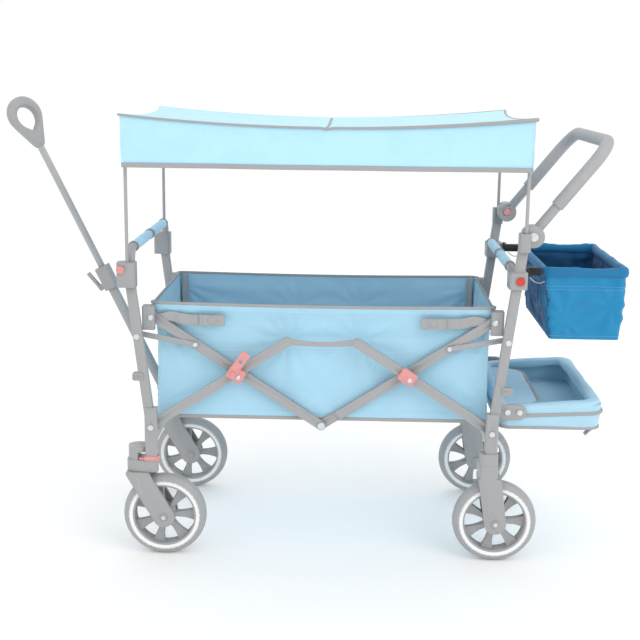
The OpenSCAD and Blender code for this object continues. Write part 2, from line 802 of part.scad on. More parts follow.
module basket_frame() color("#26282a") both_sides() {
    x0 = rear_bracket_x + rear_bracket_w / 2 + 1;
    block((x0 + basket_x0 - hem_r) / 2, arm_y - 10, arm_y + 10, basket_x0 - hem_r - x0 - 0.4,
          basket_z - 24, basket_z - 6, 3);
    block(x0 + 4, arm_y - 10, rear_grab_y + 4, 8, basket_z - 24, basket_z - 6, 3);
}

module well_outline(inset) polygon([
    [well_x0 + inset, well_z1 + (inset > 0 ? 10 : 0)],
    [well_x0 + 8 + inset, well_z1 - well_h + inset],
    [well_x1 - 8 - inset, well_z1 - well_h + inset],
    [well_x1 - inset, well_z1 + (inset > 0 ? 10 : 0)]
]);

module footwell_bag() color("#5db8dc") place() difference() {
    slab_y(-well_half_w, well_half_w) well_outline(0);
    slab_y(-well_half_w + cloth_t, well_half_w - cloth_t) well_outline(cloth_t);
    pin_y(well_hinge, pin_r + run_gap, -well_half_w - 1, well_half_w + 1);
}

// ---- Pull handle: s runs from its pivot to the grip ----

module pull_frame() place() translate([pull_x, 0, pull_z]) rotate([0, -pull_lean, 0]) children();

module pull_outer_tube() color("#2a2c2e") pull_frame() difference() {
    translate([0, 0, -8]) cylinder(r = pull_r, h = pull_len + 8);
    rotate([90, 0, 0]) cylinder(r = pull_pin_r + run_gap, h = 4 * pull_r, center = true);
    translate([0, 0, 14]) cylinder(r = pull_bore, h = pull_len);
}

module pull_inner_tube() color("#3a3d40") pull_frame() translate([0, 0, slide_from]) difference() {
    cylinder(r = slide_r, h = slide_to - slide_from);
    translate([0, 0, -1]) cylinder(r = slide_r - 2, h = slide_to - slide_from - 8);
}

// A disc of radius r1 that tapers to one of radius r2 at a distance below it
module tapered(r1, r2, distance) {
    a = asin((r1 - r2) / distance);
    circle(r1);
    translate([0, -distance]) circle(r2);
    polygon([
        [r1 * cos(a), -r1 * sin(a)], [-r1 * cos(a), -r1 * sin(a)],
        [-r2 * cos(a), -distance - r2 * sin(a)], [r2 * cos(a), -distance - r2 * sin(a)]
    ]);
}

module pull_grip() color("#26282a") pull_frame() difference() {
    translate([0, 0, grip_reach]) rotate([0, 0, grip_turn]) slab_y(-loop_w / 2, loop_w / 2) difference() {
        tapered(loop_r, neck_r, neck_len);
        translate([0, -9]) tapered(loop_r - 17, 9, 24);
    }
    cylinder(r = slide_r, h = slide_to);
}

module clamp_collar() color("#26282a") pull_frame() difference() {
    union() {
        translate([0, 0, collar_s]) linear_extrude(collar_h) round_rect(collar_w, collar_w, 8);
        for (side = [-1, 1])
            translate([-lever_reach, side * 11, lever_pin_s]) rotate([90, 0, 0])
                cylinder(r = lever_eye_r + 1, h = 6, center = true);
        for (side = [-1, 1])
            translate([-lever_reach, side * 11 - 3, lever_pin_s - 6]) cube([lever_reach, 6, 12]);
    }
    cylinder(r = pull_r, h = pull_len);
    cylinder(r = slide_r + run_gap, h = 2 * pull_len);
    translate([-lever_reach, 0, lever_pin_s]) rotate([90, 0, 0]) cylinder(r = 2.5, h = 60, center = true);
}

module clamp_lever() color("#1c1e20") pull_frame()
    translate([-lever_reach, 0, lever_pin_s]) rotate([0, -lever_rest, 0]) {
    rotate([90, 0, 0]) cylinder(r = 2.45, h = 30, center = true);
    rotate([90, 0, 0]) cylinder(r = lever_eye_r - 1.4, h = 15.4, center = true);
    translate([-8, -7.7, 0]) cube([lever_t, 15.4, lever_l]);
}

// ---- Canopy ----

module canopy_side(drop, grow) polygon([
    [-canopy_len / 2 + drop, canopy_z - valance - grow],
    [-canopy_len / 2 + drop, canopy_z - drop],
    [0, canopy_z - canopy_sag - drop],
    [canopy_len / 2 - drop, canopy_z - drop],
    [canopy_len / 2 - drop, canopy_z - valance - grow]
]);

module canopy_cloth() color("#7fd0f2") place() translate([canopy_x, 0, 0]) difference() {
    slab_y(-canopy_half_w, canopy_half_w) canopy_side(0, 0);
    slab_y(-canopy_half_w + cloth_t, canopy_half_w - cloth_t) canopy_side(cloth_t, 10);
}

rod_top = canopy_z - 2 * cloth_t - 4;

module rod(x, z0) translate([x, rod_y, z0]) cylinder(r = rod_r, h = rod_top - z0);

module canopy_front_rods() color("#34383b") both_sides() rod(front_rod_x, bracket_z0 + 8);
module canopy_rear_rods() color("#34383b") both_sides() rod(rear_rod_x, rear_rod_z0 + 2);

front_posts();
front_legs();
front_brackets();
front_grab_bar();
front_grab_sleeve();
front_rivets();
front_button_left();
front_button_right();
swivel_lock_left();
swivel_lock_right();
caster_fork_left();
caster_fork_right();
tyre_front_left();
tyre_front_right();
tyre_rear_left();
tyre_rear_right();
rim_front_left();
rim_front_right();
rim_rear_left();
rim_rear_right();
front_lower_bars();
front_upper_bars();
rear_upper_bars();
rear_lower_bars();
front_links();
rear_links();
front_corner_blocks();
rear_corner_blocks();
front_pivot_pins();
rear_pivot_pins();
cross_lock_covers();
cross_lock_lever();
cross_covers();
tub_cloth();
tub_straps();
floor_mat();
rear_posts();
rear_legs();
rear_brackets();
rear_grab_bar();
rear_grab_sleeve();
rear_forks();
rear_rivets();
push_handle_tube();
push_handle_grip();
push_button_left();
push_button_right();
rear_button_left();
rear_button_right();
basket_bag();
basket_frame();
footwell_bag();
pull_outer_tube();
pull_inner_tube();
pull_grip();
clamp_collar();
clamp_lever();
canopy_cloth();
canopy_front_rods();
canopy_rear_rods();
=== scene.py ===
"""Folding beach cart: cloth, tubes, wheels and fittings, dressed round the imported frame.

Front is -X, the left side is -Y and up is +Z. Every length is in metres.
"""

from __future__ import annotations

import json
import logging
import math
from dataclasses import dataclass, field
from enum import Enum
from typing import Callable, Iterable, Sequence

import bmesh
import bpy
import numpy as np
from mathutils import Matrix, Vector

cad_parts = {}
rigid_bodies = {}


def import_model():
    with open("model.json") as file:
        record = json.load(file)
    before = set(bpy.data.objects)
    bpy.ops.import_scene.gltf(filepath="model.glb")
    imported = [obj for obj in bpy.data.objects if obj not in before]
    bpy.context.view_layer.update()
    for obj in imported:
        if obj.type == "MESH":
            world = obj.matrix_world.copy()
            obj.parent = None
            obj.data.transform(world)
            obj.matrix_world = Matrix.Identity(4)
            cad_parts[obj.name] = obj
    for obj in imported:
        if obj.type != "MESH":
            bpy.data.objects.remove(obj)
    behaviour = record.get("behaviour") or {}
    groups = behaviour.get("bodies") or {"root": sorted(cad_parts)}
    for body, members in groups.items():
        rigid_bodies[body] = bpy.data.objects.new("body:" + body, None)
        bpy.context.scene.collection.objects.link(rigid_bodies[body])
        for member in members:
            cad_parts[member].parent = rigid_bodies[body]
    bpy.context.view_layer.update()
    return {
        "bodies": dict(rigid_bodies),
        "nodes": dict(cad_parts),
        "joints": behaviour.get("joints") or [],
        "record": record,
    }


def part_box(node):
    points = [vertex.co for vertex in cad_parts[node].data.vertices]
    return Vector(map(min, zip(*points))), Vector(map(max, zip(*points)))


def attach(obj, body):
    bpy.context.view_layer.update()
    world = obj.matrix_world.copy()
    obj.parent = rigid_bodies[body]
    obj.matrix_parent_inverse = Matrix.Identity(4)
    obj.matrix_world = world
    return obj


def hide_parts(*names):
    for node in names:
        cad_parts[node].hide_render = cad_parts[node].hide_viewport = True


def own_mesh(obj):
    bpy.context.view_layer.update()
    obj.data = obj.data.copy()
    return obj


LOG = logging.getLogger("beach_cart")
Array = np.ndarray
Piece = bpy.types.Object
Finish = bpy.types.Material

FOLD_JOINT = "fold"
WASHED = 0.6
FULL_STRENGTH = 0.0


# --------------------------------------------------------------------------- places


@dataclass(frozen=True)
class Extent:
    """The lowest and highest corners of a node of the frame.

    Args:
        low: lowest corner.
        high: highest corner.
    """

    low: Array
    high: Array

    @classmethod
    def of(cls, *nodes: str) -> "Extent":
        """Return the extent of several nodes together."""
        boxes = [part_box(node) for node in nodes]
        low = np.min([np.array(box[0], float) for box in boxes], axis=0)
        high = np.max([np.array(box[1], float) for box in boxes], axis=0)
        return cls(low, high)

    @property
    def middle(self) -> Array:
        """Return the middle point."""
        return (self.low + self.high) / 2

    @property
    def size(self) -> Array:
        """Return the three side lengths."""
        return self.high - self.low


class Side(Enum):
    """The two sides of the cart, by the sign of y."""

    LEFT = -1
    RIGHT = 1


# --------------------------------------------------------------------------- shading


def linear(colour: Sequence[float], washed: float = WASHED) -> tuple[float, float, float, float]:
    """Return a screen colour of 0 to 255 as linear light, after mixing in a share of white.

    Args:
        colour: red, green and blue as seen on a screen.
        washed: share of white mixed in.
    Returns:
        Linear red, green, blue and an alpha of 1.
    """
    screen = np.array(colour, float) / 255 * (1 - washed) + washed
    light = np.where(screen <= 0.04045, screen / 12.92, ((screen + 0.055) / 1.055) ** 2.4)
    return (*(float(part) for part in light), 1.0)


class Signal:
    """One output of a shader node, with arithmetic that adds Math nodes.

    Args:
        tree: the tree that the nodes are added to.
        socket: the output that carries the value.
    """

    def __init__(self, tree: "ShaderTree", socket: bpy.types.NodeSocket) -> None:
        """Keep the tree and the socket."""
        self.tree = tree
        self.socket = socket

    def _math(self, operation: str, first: object, second: object) -> "Signal":
        """Return a Math node's result for two values."""
        return self.tree.add("ShaderNodeMath", {"operation": operation}, {0: first, 1: second})

    def __add__(self, other: object) -> "Signal":
        """Return the sum."""
        return self._math("ADD", self, other)

    __radd__ = __add__

    def __sub__(self, other: object) -> "Signal":
        """Return the difference."""
        return self._math("SUBTRACT", self, other)

    def __rsub__(self, other: object) -> "Signal":
        """Return other minus this value."""
        return self._math("SUBTRACT", other, self)

    def __mul__(self, other: object) -> "Signal":
        """Return the product."""
        return self._math("MULTIPLY", self, other)

    __rmul__ = __mul__

    def __pow__(self, other: object) -> "Signal":
        """Return this value raised to a power."""
        return self._math("POWER", self, other)

    def sine(self) -> "Signal":
        """Return the sine of this value."""
        return self._math("SINE", self, 0.0)

    def above(self, edge: float) -> "Signal":
        """Return 1 where this value is over the edge, else 0."""
        return self._math("GREATER_THAN", self, edge)

    def smooth(self, low: float, high: float) -> "Signal":
        """Return a soft step from 0 at low to 1 at high."""
        settings = {"interpolation_type": "SMOOTHSTEP"}
        return self.tree.add("ShaderNodeMapRange", settings, {"Value": self, 1: low, 2: high})


class ShaderTree:
    """A material and the nodes in it.

    Args:
        name: the material's name.
    """

    def __init__(self, name: str) -> None:
        """Make the material with one Principled shader."""
        self.material = bpy.data.materials.new(name)
        self.material.use_nodes = True
        self.nodes = self.material.node_tree.nodes
        self.links = self.material.node_tree.links
        self.shader = next(node for node in self.nodes if node.type == "BSDF_PRINCIPLED")

    def add(self, kind: str, settings: dict, inputs: dict, output: object = 0) -> Signal:
        """Add a node, set it, and feed its sockets.

        Args:
            kind: Blender's name of the node type.
            settings: properties set before the sockets are fed.
            inputs: values or signals by socket number or name.
            output: number or name of the output that is returned.
        Returns:
            The chosen output.
        """
        node = self.nodes.new(kind)
        for name, value in settings.items():
            setattr(node, name, value)
        for key, value in inputs.items():
            self.feed(node.inputs[key], value)
        return Signal(self, node.outputs[output])

    def feed(self, socket: bpy.types.NodeSocket, value: object) -> None:
        """Link a signal to a socket, or set the socket's own value."""
        if isinstance(value, Signal):
            self.links.new(value.socket, socket)
        else:
            socket.default_value = value

    def place(self) -> Signal:
        """Return the Object coordinates."""
        return self.add("ShaderNodeTexCoord", {}, {}, "Object")

    def surface(self) -> Signal:
        """Return the piece's own UV coordinates, in metres on cloth."""
        return self.add("ShaderNodeTexCoord", {}, {}, "UV")

    def axis(self, vector: Signal, name: str) -> Signal:
        """Return one part, X, Y or Z, of a vector."""
        return self.add("ShaderNodeSeparateXYZ", {}, {0: vector}, name)

    def noise(self, vector: Signal, scale: float, detail: float = 3.0, rough: float = 0.55) -> Signal:
        """Return smooth noise between 0 and 1."""
        inputs = {"Vector": vector, "Scale": scale, "Detail": detail, "Roughness": rough}
        return self.add("ShaderNodeTexNoise", {}, inputs, "Factor" if bpy.app.version >= (5, 0, 0) else "Fac")

    def mix(self, share: object, first: object, second: object) -> Signal:
        """Return a colour between two colours."""
        inputs = {0: share, 6: first, 7: second}
        return self.add("ShaderNodeMix", {"data_type": "RGBA"}, inputs, 2)

    def bump(self, height: Signal, distance: float, strength: float = 1.0) -> Signal:
        """Return a normal bent by a height."""
        inputs = {"Strength": strength, "Distance": distance, "Height": height}
        return self.add("ShaderNodeBump", {}, inputs, "Normal")

    def finish(self, **sockets: object) -> Finish:
        """Feed the shader's sockets by name and return the material.

        Args:
            sockets: values or signals, with underscores for the spaces in a socket's name.
        Returns:
            The finished material.
        """
        for name, value in sockets.items():
            self.feed(self.shader.inputs[name.replace("_", " ")], value)
        return self.material


@dataclass(frozen=True)
class Cloth:
    """Woven polyester: a plain weave, slight mottling, and a soft sheen.

    Args:
        name: the material's name.
        colour: screen colour at full strength.
        washed: share of white mixed in.
        thread: distance between threads.
        shade: share by which the weave's hollows are darkened, a painted shade.
        sheen: strength of the sheen.
    """

    name: str
    colour: tuple[int, int, int]
    washed: float = WASHED
    thread: float = 0.0009
    shade: float = 0.10
    sheen: float = 0.18

    def make(self) -> Finish:
        """Return the cloth's material: threads from two crossed sine waves on the piece's UV."""
        tree = ShaderTree(self.name)
        sheet = tree.surface()
        turn = 2 * math.pi / self.thread
        warp = (tree.axis(sheet, "X") * turn).sine()
        weft = (tree.axis(sheet, "Y") * turn).sine()
        weave = warp * weft * 0.5 + 0.5
        place = tree.place()
        mottle = tree.noise(place, 9.0, 4.0)
        slub = tree.noise(place, 140.0, 2.0)
        base = linear(self.colour, self.washed)
        # Darker colour for the painted shade in the weave's hollows and for the real slub tone.
        hollow_shade_and_slub = tuple(part * (1 - 2.2 * self.shade) for part in base[:3]) + (1.0,)
        pale = tuple(min(1.0, part * 1.05 + 0.01) for part in base[:3]) + (1.0,)
        faded = tree.mix(mottle.smooth(0.3, 0.72), base, pale)
        # Painted shade: the weave's hollows are mixed towards the darker colour; the slub noise adds real
        # thread tone.
        colour = tree.mix((1 - weave) * self.shade * 1.6 + (slub.smooth(0.45, 0.8)) * 0.10, faded, hollow_shade_and_slub)
        height = weave * 0.6 + slub * 0.4
        return tree.finish(
            Base_Color=colour,
            Roughness=0.72 + mottle * 0.12,
            Normal=tree.bump(height, 0.00025, 0.7),
            Sheen_Weight=self.sheen,
            Sheen_Roughness=0.5,
            Specular_IOR_Level=0.32,
        )


@dataclass(frozen=True)
class Webbing:
    """Woven strap or binding tape: fine ribs across its length.

    Args:
        name: the material's name.
        colour: screen colour at full strength.
        washed: share of white mixed in.
        rib: distance between ribs.
    """

    name: str
    colour: tuple[int, int, int]
    washed: float = WASHED
    rib: float = 0.0016

    def make(self) -> Finish:
        """Return the tape's material: a sine of the length, crossed by a finer sine of the width."""
        tree = ShaderTree(self.name)
        sheet = tree.surface()
        along = (tree.axis(sheet, "X") * (2 * math.pi / self.rib)).sine()
        across = (tree.axis(sheet, "Y") * (4 * math.pi / self.rib)).sine()
        ribs = along * 0.35 + across * 0.15 + 0.5
        base = linear(self.colour, self.washed)
        pale = tuple(min(1.0, part * 1.12 + 0.012) for part in base[:3]) + (1.0,)
        wear = tree.noise(tree.place(), 60.0, 3.0)
        # Painted highlight: the rib crests are mixed paler, as if lit; the wear noise adds real rubbed
        # patches.
        colour = tree.mix(ribs * 0.6 + wear * 0.3, base, pale)
        return tree.finish(
            Base_Color=colour,
            Roughness=0.7 + wear * 0.15,
            Normal=tree.bump(ribs, 0.0003, 0.8),
            Specular_IOR_Level=0.3,
        )


@dataclass(frozen=True)
class Coated:
    """Powder-coated or anodised metal: a fine orange peel and faint handling marks.

    Args:
        name: the material's name.
        colour: screen colour at full strength.
        washed: share of white mixed in.
        rough: roughness of the clean coat.
        metallic: how metallic the surface is.
        coat: strength of a clear coat.
    """

    name: str
    colour: tuple[int, int, int]
    washed: float = WASHED
    rough: float = 0.36
    metallic: float = 0.0
    coat: float = 0.15

    def make(self) -> Finish:
        """Return the coat's material: noise at two scales for the peel and the marks."""
        tree = ShaderTree(self.name)
        place = tree.place()
        peel = tree.noise(place, 900.0, 2.0)
        marks = tree.noise(place, 35.0, 5.0, 0.7)
        scuffs = marks.smooth(0.6, 0.75)
        base = linear(self.colour, self.washed)
        worn = tuple(min(1.0, part * 1.18 + 0.01) for part in base[:3]) + (1.0,)
        return tree.finish(
            Base_Color=tree.mix(scuffs * 0.55, base, worn),
            Roughness=self.rough + scuffs * 0.14 + peel * 0.06,
            Metallic=self.metallic,
            Normal=tree.bump(peel, 0.00008, 0.5),
            Coat_Weight=self.coat,
            Coat_Roughness=0.25,
        )


@dataclass(frozen=True)
class Moulded:
    """Moulded plastic or foam rubber: a fine grain and soft wear.

    Args:
        name: the material's name.
        colour: screen colour at full strength.
        washed: share of white mixed in.
        rough: roughness of the clean surface.
        grain: grains per metre.
        depth: height of the grain.
    """

    name: str
    colour: tuple[int, int, int]
    washed: float = WASHED
    rough: float = 0.5
    grain: float = 1400.0
    depth: float = 0.00006

    def make(self) -> Finish:
        """Return the plastic's material: cell noise for the grain, broad noise for wear."""
        tree = ShaderTree(self.name)
        place = tree.place()
        pits = tree.add("ShaderNodeTexVoronoi", {}, {"Vector": place, "Scale": self.grain}, "Distance")
        wear = tree.noise(place, 22.0, 5.0, 0.65)
        base = linear(self.colour, self.washed)
        worn = tuple(min(1.0, part * 1.1 + 0.008) for part in base[:3]) + (1.0,)
        return tree.finish(
            Base_Color=tree.mix(wear.smooth(0.45, 0.8) * 0.7, base, worn),
            Roughness=self.rough + wear * 0.12 - pits * 0.04,
            Normal=tree.bump(pits, self.depth, 0.8),
            Specular_IOR_Level=0.42,
        )


@dataclass(frozen=True)
class Plated:
    """Zinc-plated or polished steel with a faint brushed grain.

    Args:
        name: the material's name.
        colour: screen colour.
        rough: roughness.
    """

    name: str
    colour: tuple[int, int, int]
    rough: float = 0.28

    def make(self) -> Finish:
        """Return the plating's material: noise drawn out along z for the grain."""
        tree = ShaderTree(self.name)
        stretched = tree.add("ShaderNodeMapping", {}, {"Vector": tree.place(), "Scale": (1.0, 1.0, 0.06)})
        grain = tree.noise(stretched, 1200.0, 2.0)
        base = linear(self.colour, FULL_STRENGTH)
        dull = tuple(part * 0.8 for part in base[:3]) + (1.0,)
        return tree.finish(
            Base_Color=tree.mix(grain.smooth(0.4, 0.7), base, dull),
            Roughness=self.rough + grain * 0.15,
            Metallic=0.9,
            Normal=tree.bump(grain, 0.00004, 0.5),
        )


class Finishes:
    """Every finish of the cart, made once."""

    FRAME_BLACK = (29, 30, 32)

    def __init__(self) -> None:
        """Make the materials."""
        black = self.FRAME_BLACK
        self.tub = Cloth("tub_cloth", (50, 163, 217)).make()
        # A darker copy of the tub cloth: painted shade for the inner faces and the mat.
        self.tub_inside = Cloth("tub_inside_cloth", (42, 140, 192)).make()
        self.canopy = Cloth("canopy_cloth", (84, 201, 246), thread=0.0007).make()
        self.basket = Cloth("basket_cloth", (32, 138, 188), washed=FULL_STRENGTH).make()
        self.basket_hem = Cloth("basket_hem_cloth", (20, 116, 166), washed=FULL_STRENGTH).make()
        # A darker copy of the basket cloth: painted shade for the inner faces and the faces that look
        # forwards.
        self.basket_inside = Cloth("basket_inside_cloth", (16, 88, 132), washed=FULL_STRENGTH).make()
        self.well = Cloth("well_cloth", (62, 160, 205)).make()
        self.sleeve = Cloth("sleeve_cloth", (70, 172, 218)).make()
        self.binding = Webbing("black_binding", (30, 31, 34)).make()
        self.strap = Webbing("black_webbing", (36, 37, 40)).make()
        self.thread = Webbing("blue_thread", (120, 190, 225), rib=0.003).make()
        self.basket_thread = Webbing("basket_thread", (110, 180, 212), washed=0.0, rib=0.003).make()
        self.frame = Coated("black_powder_coat", black).make()
        self.bar = Coated("black_bar_coat", (34, 35, 38), rough=0.3, coat=0.3).make()
        self.rod = Coated("rod_coat", (40, 42, 45), rough=0.3).make()
        self.slide = Coated("sliding_tube_coat", (44, 46, 48), rough=0.26, coat=0.35).make()
        self.plastic = Moulded("black_plastic", (26, 27, 29)).make()
        self.dark_plastic = Moulded("basket_arm_plastic", (30, 30, 32), washed=FULL_STRENGTH).make()
        self.buckle = Moulded("buckle_plastic", (32, 33, 36), rough=0.42, grain=900.0).make()
        self.grip = Moulded("grip_foam", (46, 47, 50), rough=0.68, grain=700.0, depth=0.0003).make()
        self.red = Moulded("red_plastic", (196, 52, 50), washed=0.5, rough=0.34).make()
        self.bright_red = Moulded("bright_red_plastic", (206, 48, 42), washed=0.1, rough=0.3).make()
        self.tyre = Moulded("foam_tyre", (38, 39, 41), rough=0.62, grain=500.0, depth=0.0002).make()
        self.rim = Moulded("black_rim", (30, 31, 33), rough=0.4).make()
        self.trim = Moulded("white_rim_ring", (236, 238, 240), rough=0.3).make()
        self.steel = Plated("zinc_steel", (226, 228, 230)).make()
        self.spring = Plated("spring_steel", (206, 209, 212), 0.22).make()


# --------------------------------------------------------------------------- meshes


def put(name: str, points: Array, faces: Sequence[Sequence[int]], uv: Array | None = None) -> Piece:
    """Make an object from points and faces.

    Args:
        name: the object's name.
        points: one row of x, y and z for each vertex.
        faces: vertex numbers of each face.
        uv: one row of u and v for each vertex.
    Returns:
        The new object, in the scene, at the origin.
    """
    mesh = bpy.data.meshes.new(name)
    mesh.from_pydata(points.reshape(-1, 3).tolist(), [], [list(face) for face in faces])
    if uv is not None:
        corner_vertex = np.zeros(len(mesh.loops), np.int32)
        mesh.loops.foreach_get("vertex_index", corner_vertex)
        layer = mesh.uv_layers.new(name="UVMap")
        layer.uv.foreach_set("vector", uv.reshape(-1, 2)[corner_vertex].astype(np.float32).ravel())
    mesh.update()
    piece = bpy.data.objects.new(name, mesh)
    bpy.context.scene.collection.objects.link(piece)
    return piece


def grid_faces(rows: int, columns: int, wrap_rows: bool, wrap_columns: bool, start: int = 0) -> Array:
    """Return the quads of a grid of vertices, with its last row or column joined to its first if it wraps."""
    row = np.arange(rows if wrap_rows else rows - 1)
    column = np.arange(columns if wrap_columns else columns - 1)
    first, second = np.meshgrid(row, column, indexing="ij")
    below, beside = (first + 1) % rows, (second + 1) % columns
    quads = [
        first * columns + second, below * columns + second,
        below * columns + beside, first * columns + beside,
    ]
    return np.stack(quads, axis=-1).reshape(-1, 4) + start


def lengths(grid: Array, axis: int) -> Array:
    """Return how far each point of a grid is along one of its two directions, on average."""
    steps = np.linalg.norm(np.diff(grid, axis=axis), axis=-1)
    mean = steps.mean(axis=1 - axis)
    return np.concatenate([[0.0], np.cumsum(mean)])


def grid_uv(grid: Array) -> Array:
    """Return UV coordinates in metres: the mean distances along the rows and the columns."""
    along_rows, along_columns = lengths(grid, 0), lengths(grid, 1)
    u, v = np.meshgrid(along_columns, along_rows)
    return np.stack([u, v], axis=-1)


def sheet_of(name: str, grid: Array, wrap: bool = False) -> Piece:
    """Make an open sheet from a grid of points, closed on itself along its columns if it wraps."""
    if wrap:
        grid = np.concatenate([grid, grid[:, :1]], axis=1)
    faces = grid_faces(grid.shape[0], grid.shape[1], False, False)
    piece = put(name, grid, faces, grid_uv(grid))
    if wrap:
        weld(piece)
    return piece


def weld(piece: Piece, distance: float = 1e-6) -> None:
    """Merge a piece's doubled vertices and point its faces outwards."""
    work = bmesh.new()
    work.from_mesh(piece.data)
    bmesh.ops.remove_doubles(work, verts=work.verts, dist=distance)
    bmesh.ops.recalc_face_normals(work, faces=work.faces)
    work.to_mesh(piece.data)
    work.free()
    piece.data.update()


def unit(vectors: Array) -> Array:
    """Return vectors scaled to length 1."""
    return vectors / np.maximum(np.linalg.norm(vectors, axis=-1, keepdims=True), 1e-12)


def circle(radius: float, sides: int) -> Array:
    """Return points round a circle."""
    turn = np.linspace(0, 2 * np.pi, sides, endpoint=False)
    return radius * np.stack([np.cos(turn), np.sin(turn)], axis=-1)


def oval(width: float, height: float, sides: int, power: float = 2.0) -> Array:
    """Return points round a superellipse: |x/a|^n + |y/b|^n = 1."""
    turn = np.linspace(0, 2 * np.pi, sides, endpoint=False)
    cosine, sine = np.cos(turn), np.sin(turn)
    x = width / 2 * np.sign(cosine) * np.abs(cosine) ** (2 / power)
    y = height / 2 * np.sign(sine) * np.abs(sine) ** (2 / power)
    return np.stack([x, y], axis=-1)


def swept(
    path: Array, section: Array, up: Sequence[float], closed: bool, scale: Array | None = None
) -> Array:
    """Return the grid of a section carried along a path.

    The side vector is the tangent crossed with up, and the section's x runs along it and its y along up.

    Args:
        path: points of the path.
        section: closed outline, as x and y.
        up: direction that the section's y keeps to.
        closed: whether the path's end joins its start.
        scale: size of the section at each point of the path.
    Returns:
        A grid of points, one row for each point of the path.
    """
    if closed:
        tangent = np.roll(path, -1, axis=0) - np.roll(path, 1, axis=0)
    else:
        tangent = np.gradient(path, axis=0)
    side = unit(np.cross(unit(tangent), np.array(up, float)))
    lift = unit(np.cross(side, unit(tangent)))
    size = np.ones(len(path)) if scale is None else scale
    across = section[None, :, 0, None] * side[:, None, :] + section[None, :, 1, None] * lift[:, None, :]
    return path[:, None, :] + across * size[:, None, None]


def tube(
    name: str,
    path: Array,
    section: Array,
    up: Sequence[float] = (0.0, 0.0, 1.0),
    closed: bool = False,
    scale: Array | None = None,
) -> Piece:
    """Make a closed tube: a section swept along a path, with flat ends where the path is open."""
    grid = swept(path, section, up, closed, scale)
    rows, columns = grid.shape[:2]
    faces = grid_faces(rows, columns, closed, True).tolist()
    if not closed:
        faces.append(list(range(columns)))
        faces.append(list(range((rows - 1) * columns, rows * columns)))
    piece = put(name, grid, faces, grid_uv(grid)[:, :, ::-1])
    weld(piece)
    return piece


def joined(name: str, pieces: Iterable[Piece]) -> Piece:
    """Join several mesh objects into the first and name it."""
    pieces = list(pieces)
    work = bmesh.new()
    for piece in pieces:
        work.from_mesh(piece.data)
    mesh = pieces[0].data
    work.to_mesh(mesh)
    work.free()
    for piece in pieces[1:]:
        bpy.data.objects.remove(piece)
    pieces[0].name = name
    mesh.name = name
    mesh.update()
    return pieces[0]


def rounded_loop(half_x: float, half_y: float, radius: float, count: int) -> Array:
    """Return evenly spaced points round a rectangle with round corners, as x and y, anticlockwise.

    The loop starts in the middle of the side at +x. Each point is found by its distance along the outline.
    """
    quarter = np.linspace(0, np.pi / 2, 9)
    arc = radius * np.stack([np.cos(quarter), np.sin(quarter)], axis=-1)
    corner = np.array([half_x - radius, half_y - radius])
    arcs = []
    for turn in range(4):
        c, s = round(math.cos(turn * math.pi / 2)), round(math.sin(turn * math.pi / 2))
        centre = corner * np.array([[1, 1], [-1, 1], [-1, -1], [1, -1]][turn])
        arcs.append(centre + arc @ np.array([[c, s], [-s, c]]))
    outline = np.concatenate([[[half_x, 0.0]], *arcs, [[half_x, 0.0]]])
    along = np.concatenate([[0.0], np.cumsum(np.linalg.norm(np.diff(outline, axis=0), axis=1))])
    at = np.linspace(0, along[-1], count, endpoint=False)
    return np.stack([np.interp(at, along, outline[:, k]) for k in range(2)], axis=-1)


def smoothstep(value: Array, low: float, high: float) -> Array:
    """Return a soft step from 0 at low to 1 at high."""
    t = np.clip((value - low) / (high - low), 0, 1)
    return t * t * (3 - 2 * t)


def ripples(first: Array, second: Array, seed: int, waves: int = 7, shortest: float = 0.05) -> Array:
    """Return gentle random folds between about -1 and 1: a sum of plane waves of random direction."""
    chance = np.random.default_rng(seed)
    total = np.zeros_like(first)
    for _ in range(waves):
        length = shortest * (1 + 3 * chance.random())
        turn, phase = chance.random(2) * 2 * np.pi
        along = first * math.cos(turn) + second * math.sin(turn)
        total += np.sin(along * 2 * np.pi / length + phase) * (length / (4 * shortest))
    return total / math.sqrt(waves)


def radial_folds(
    first: Array, second: Array, at: Sequence[float], count: float, reach: float, turn: float = 0.0
) -> Array:
    """Return tension folds that fan out from a point: a sine of the polar angle that fades with distance."""
    dx, dy = first - at[0], second - at[1]
    distance = np.hypot(dx, dy)
    ridge = np.sin(np.arctan2(dy, dx) * count + turn)
    return ridge * np.exp(-distance / reach) * smoothstep(distance, 0.004, 0.05)


def smooth_by_angle(piece: Piece, degrees: float = 35.0) -> Piece:
    """Shade a piece smooth, with sharp edges over an angle."""
    mesh = piece.data
    mesh.polygons.foreach_set("use_smooth", np.ones(len(mesh.polygons), bool))
    mesh.set_sharp_from_angle(angle=math.radians(degrees))
    return piece


def applied(piece: Piece) -> Piece:
    """Replace a piece's mesh by the result of its modifiers."""
    graph = bpy.context.evaluated_depsgraph_get()
    mesh = bpy.data.meshes.new_from_object(piece.evaluated_get(graph))
    piece.modifiers.clear()
    piece.data = mesh
    return piece


def thickened(piece: Piece, thickness: float, offset: float = -1.0) -> Piece:
    """Give a sheet its thickness, with a closed edge."""
    solid = piece.modifiers.new("cloth", "SOLIDIFY")
    solid.thickness = thickness
    solid.offset = offset
    return applied(piece)


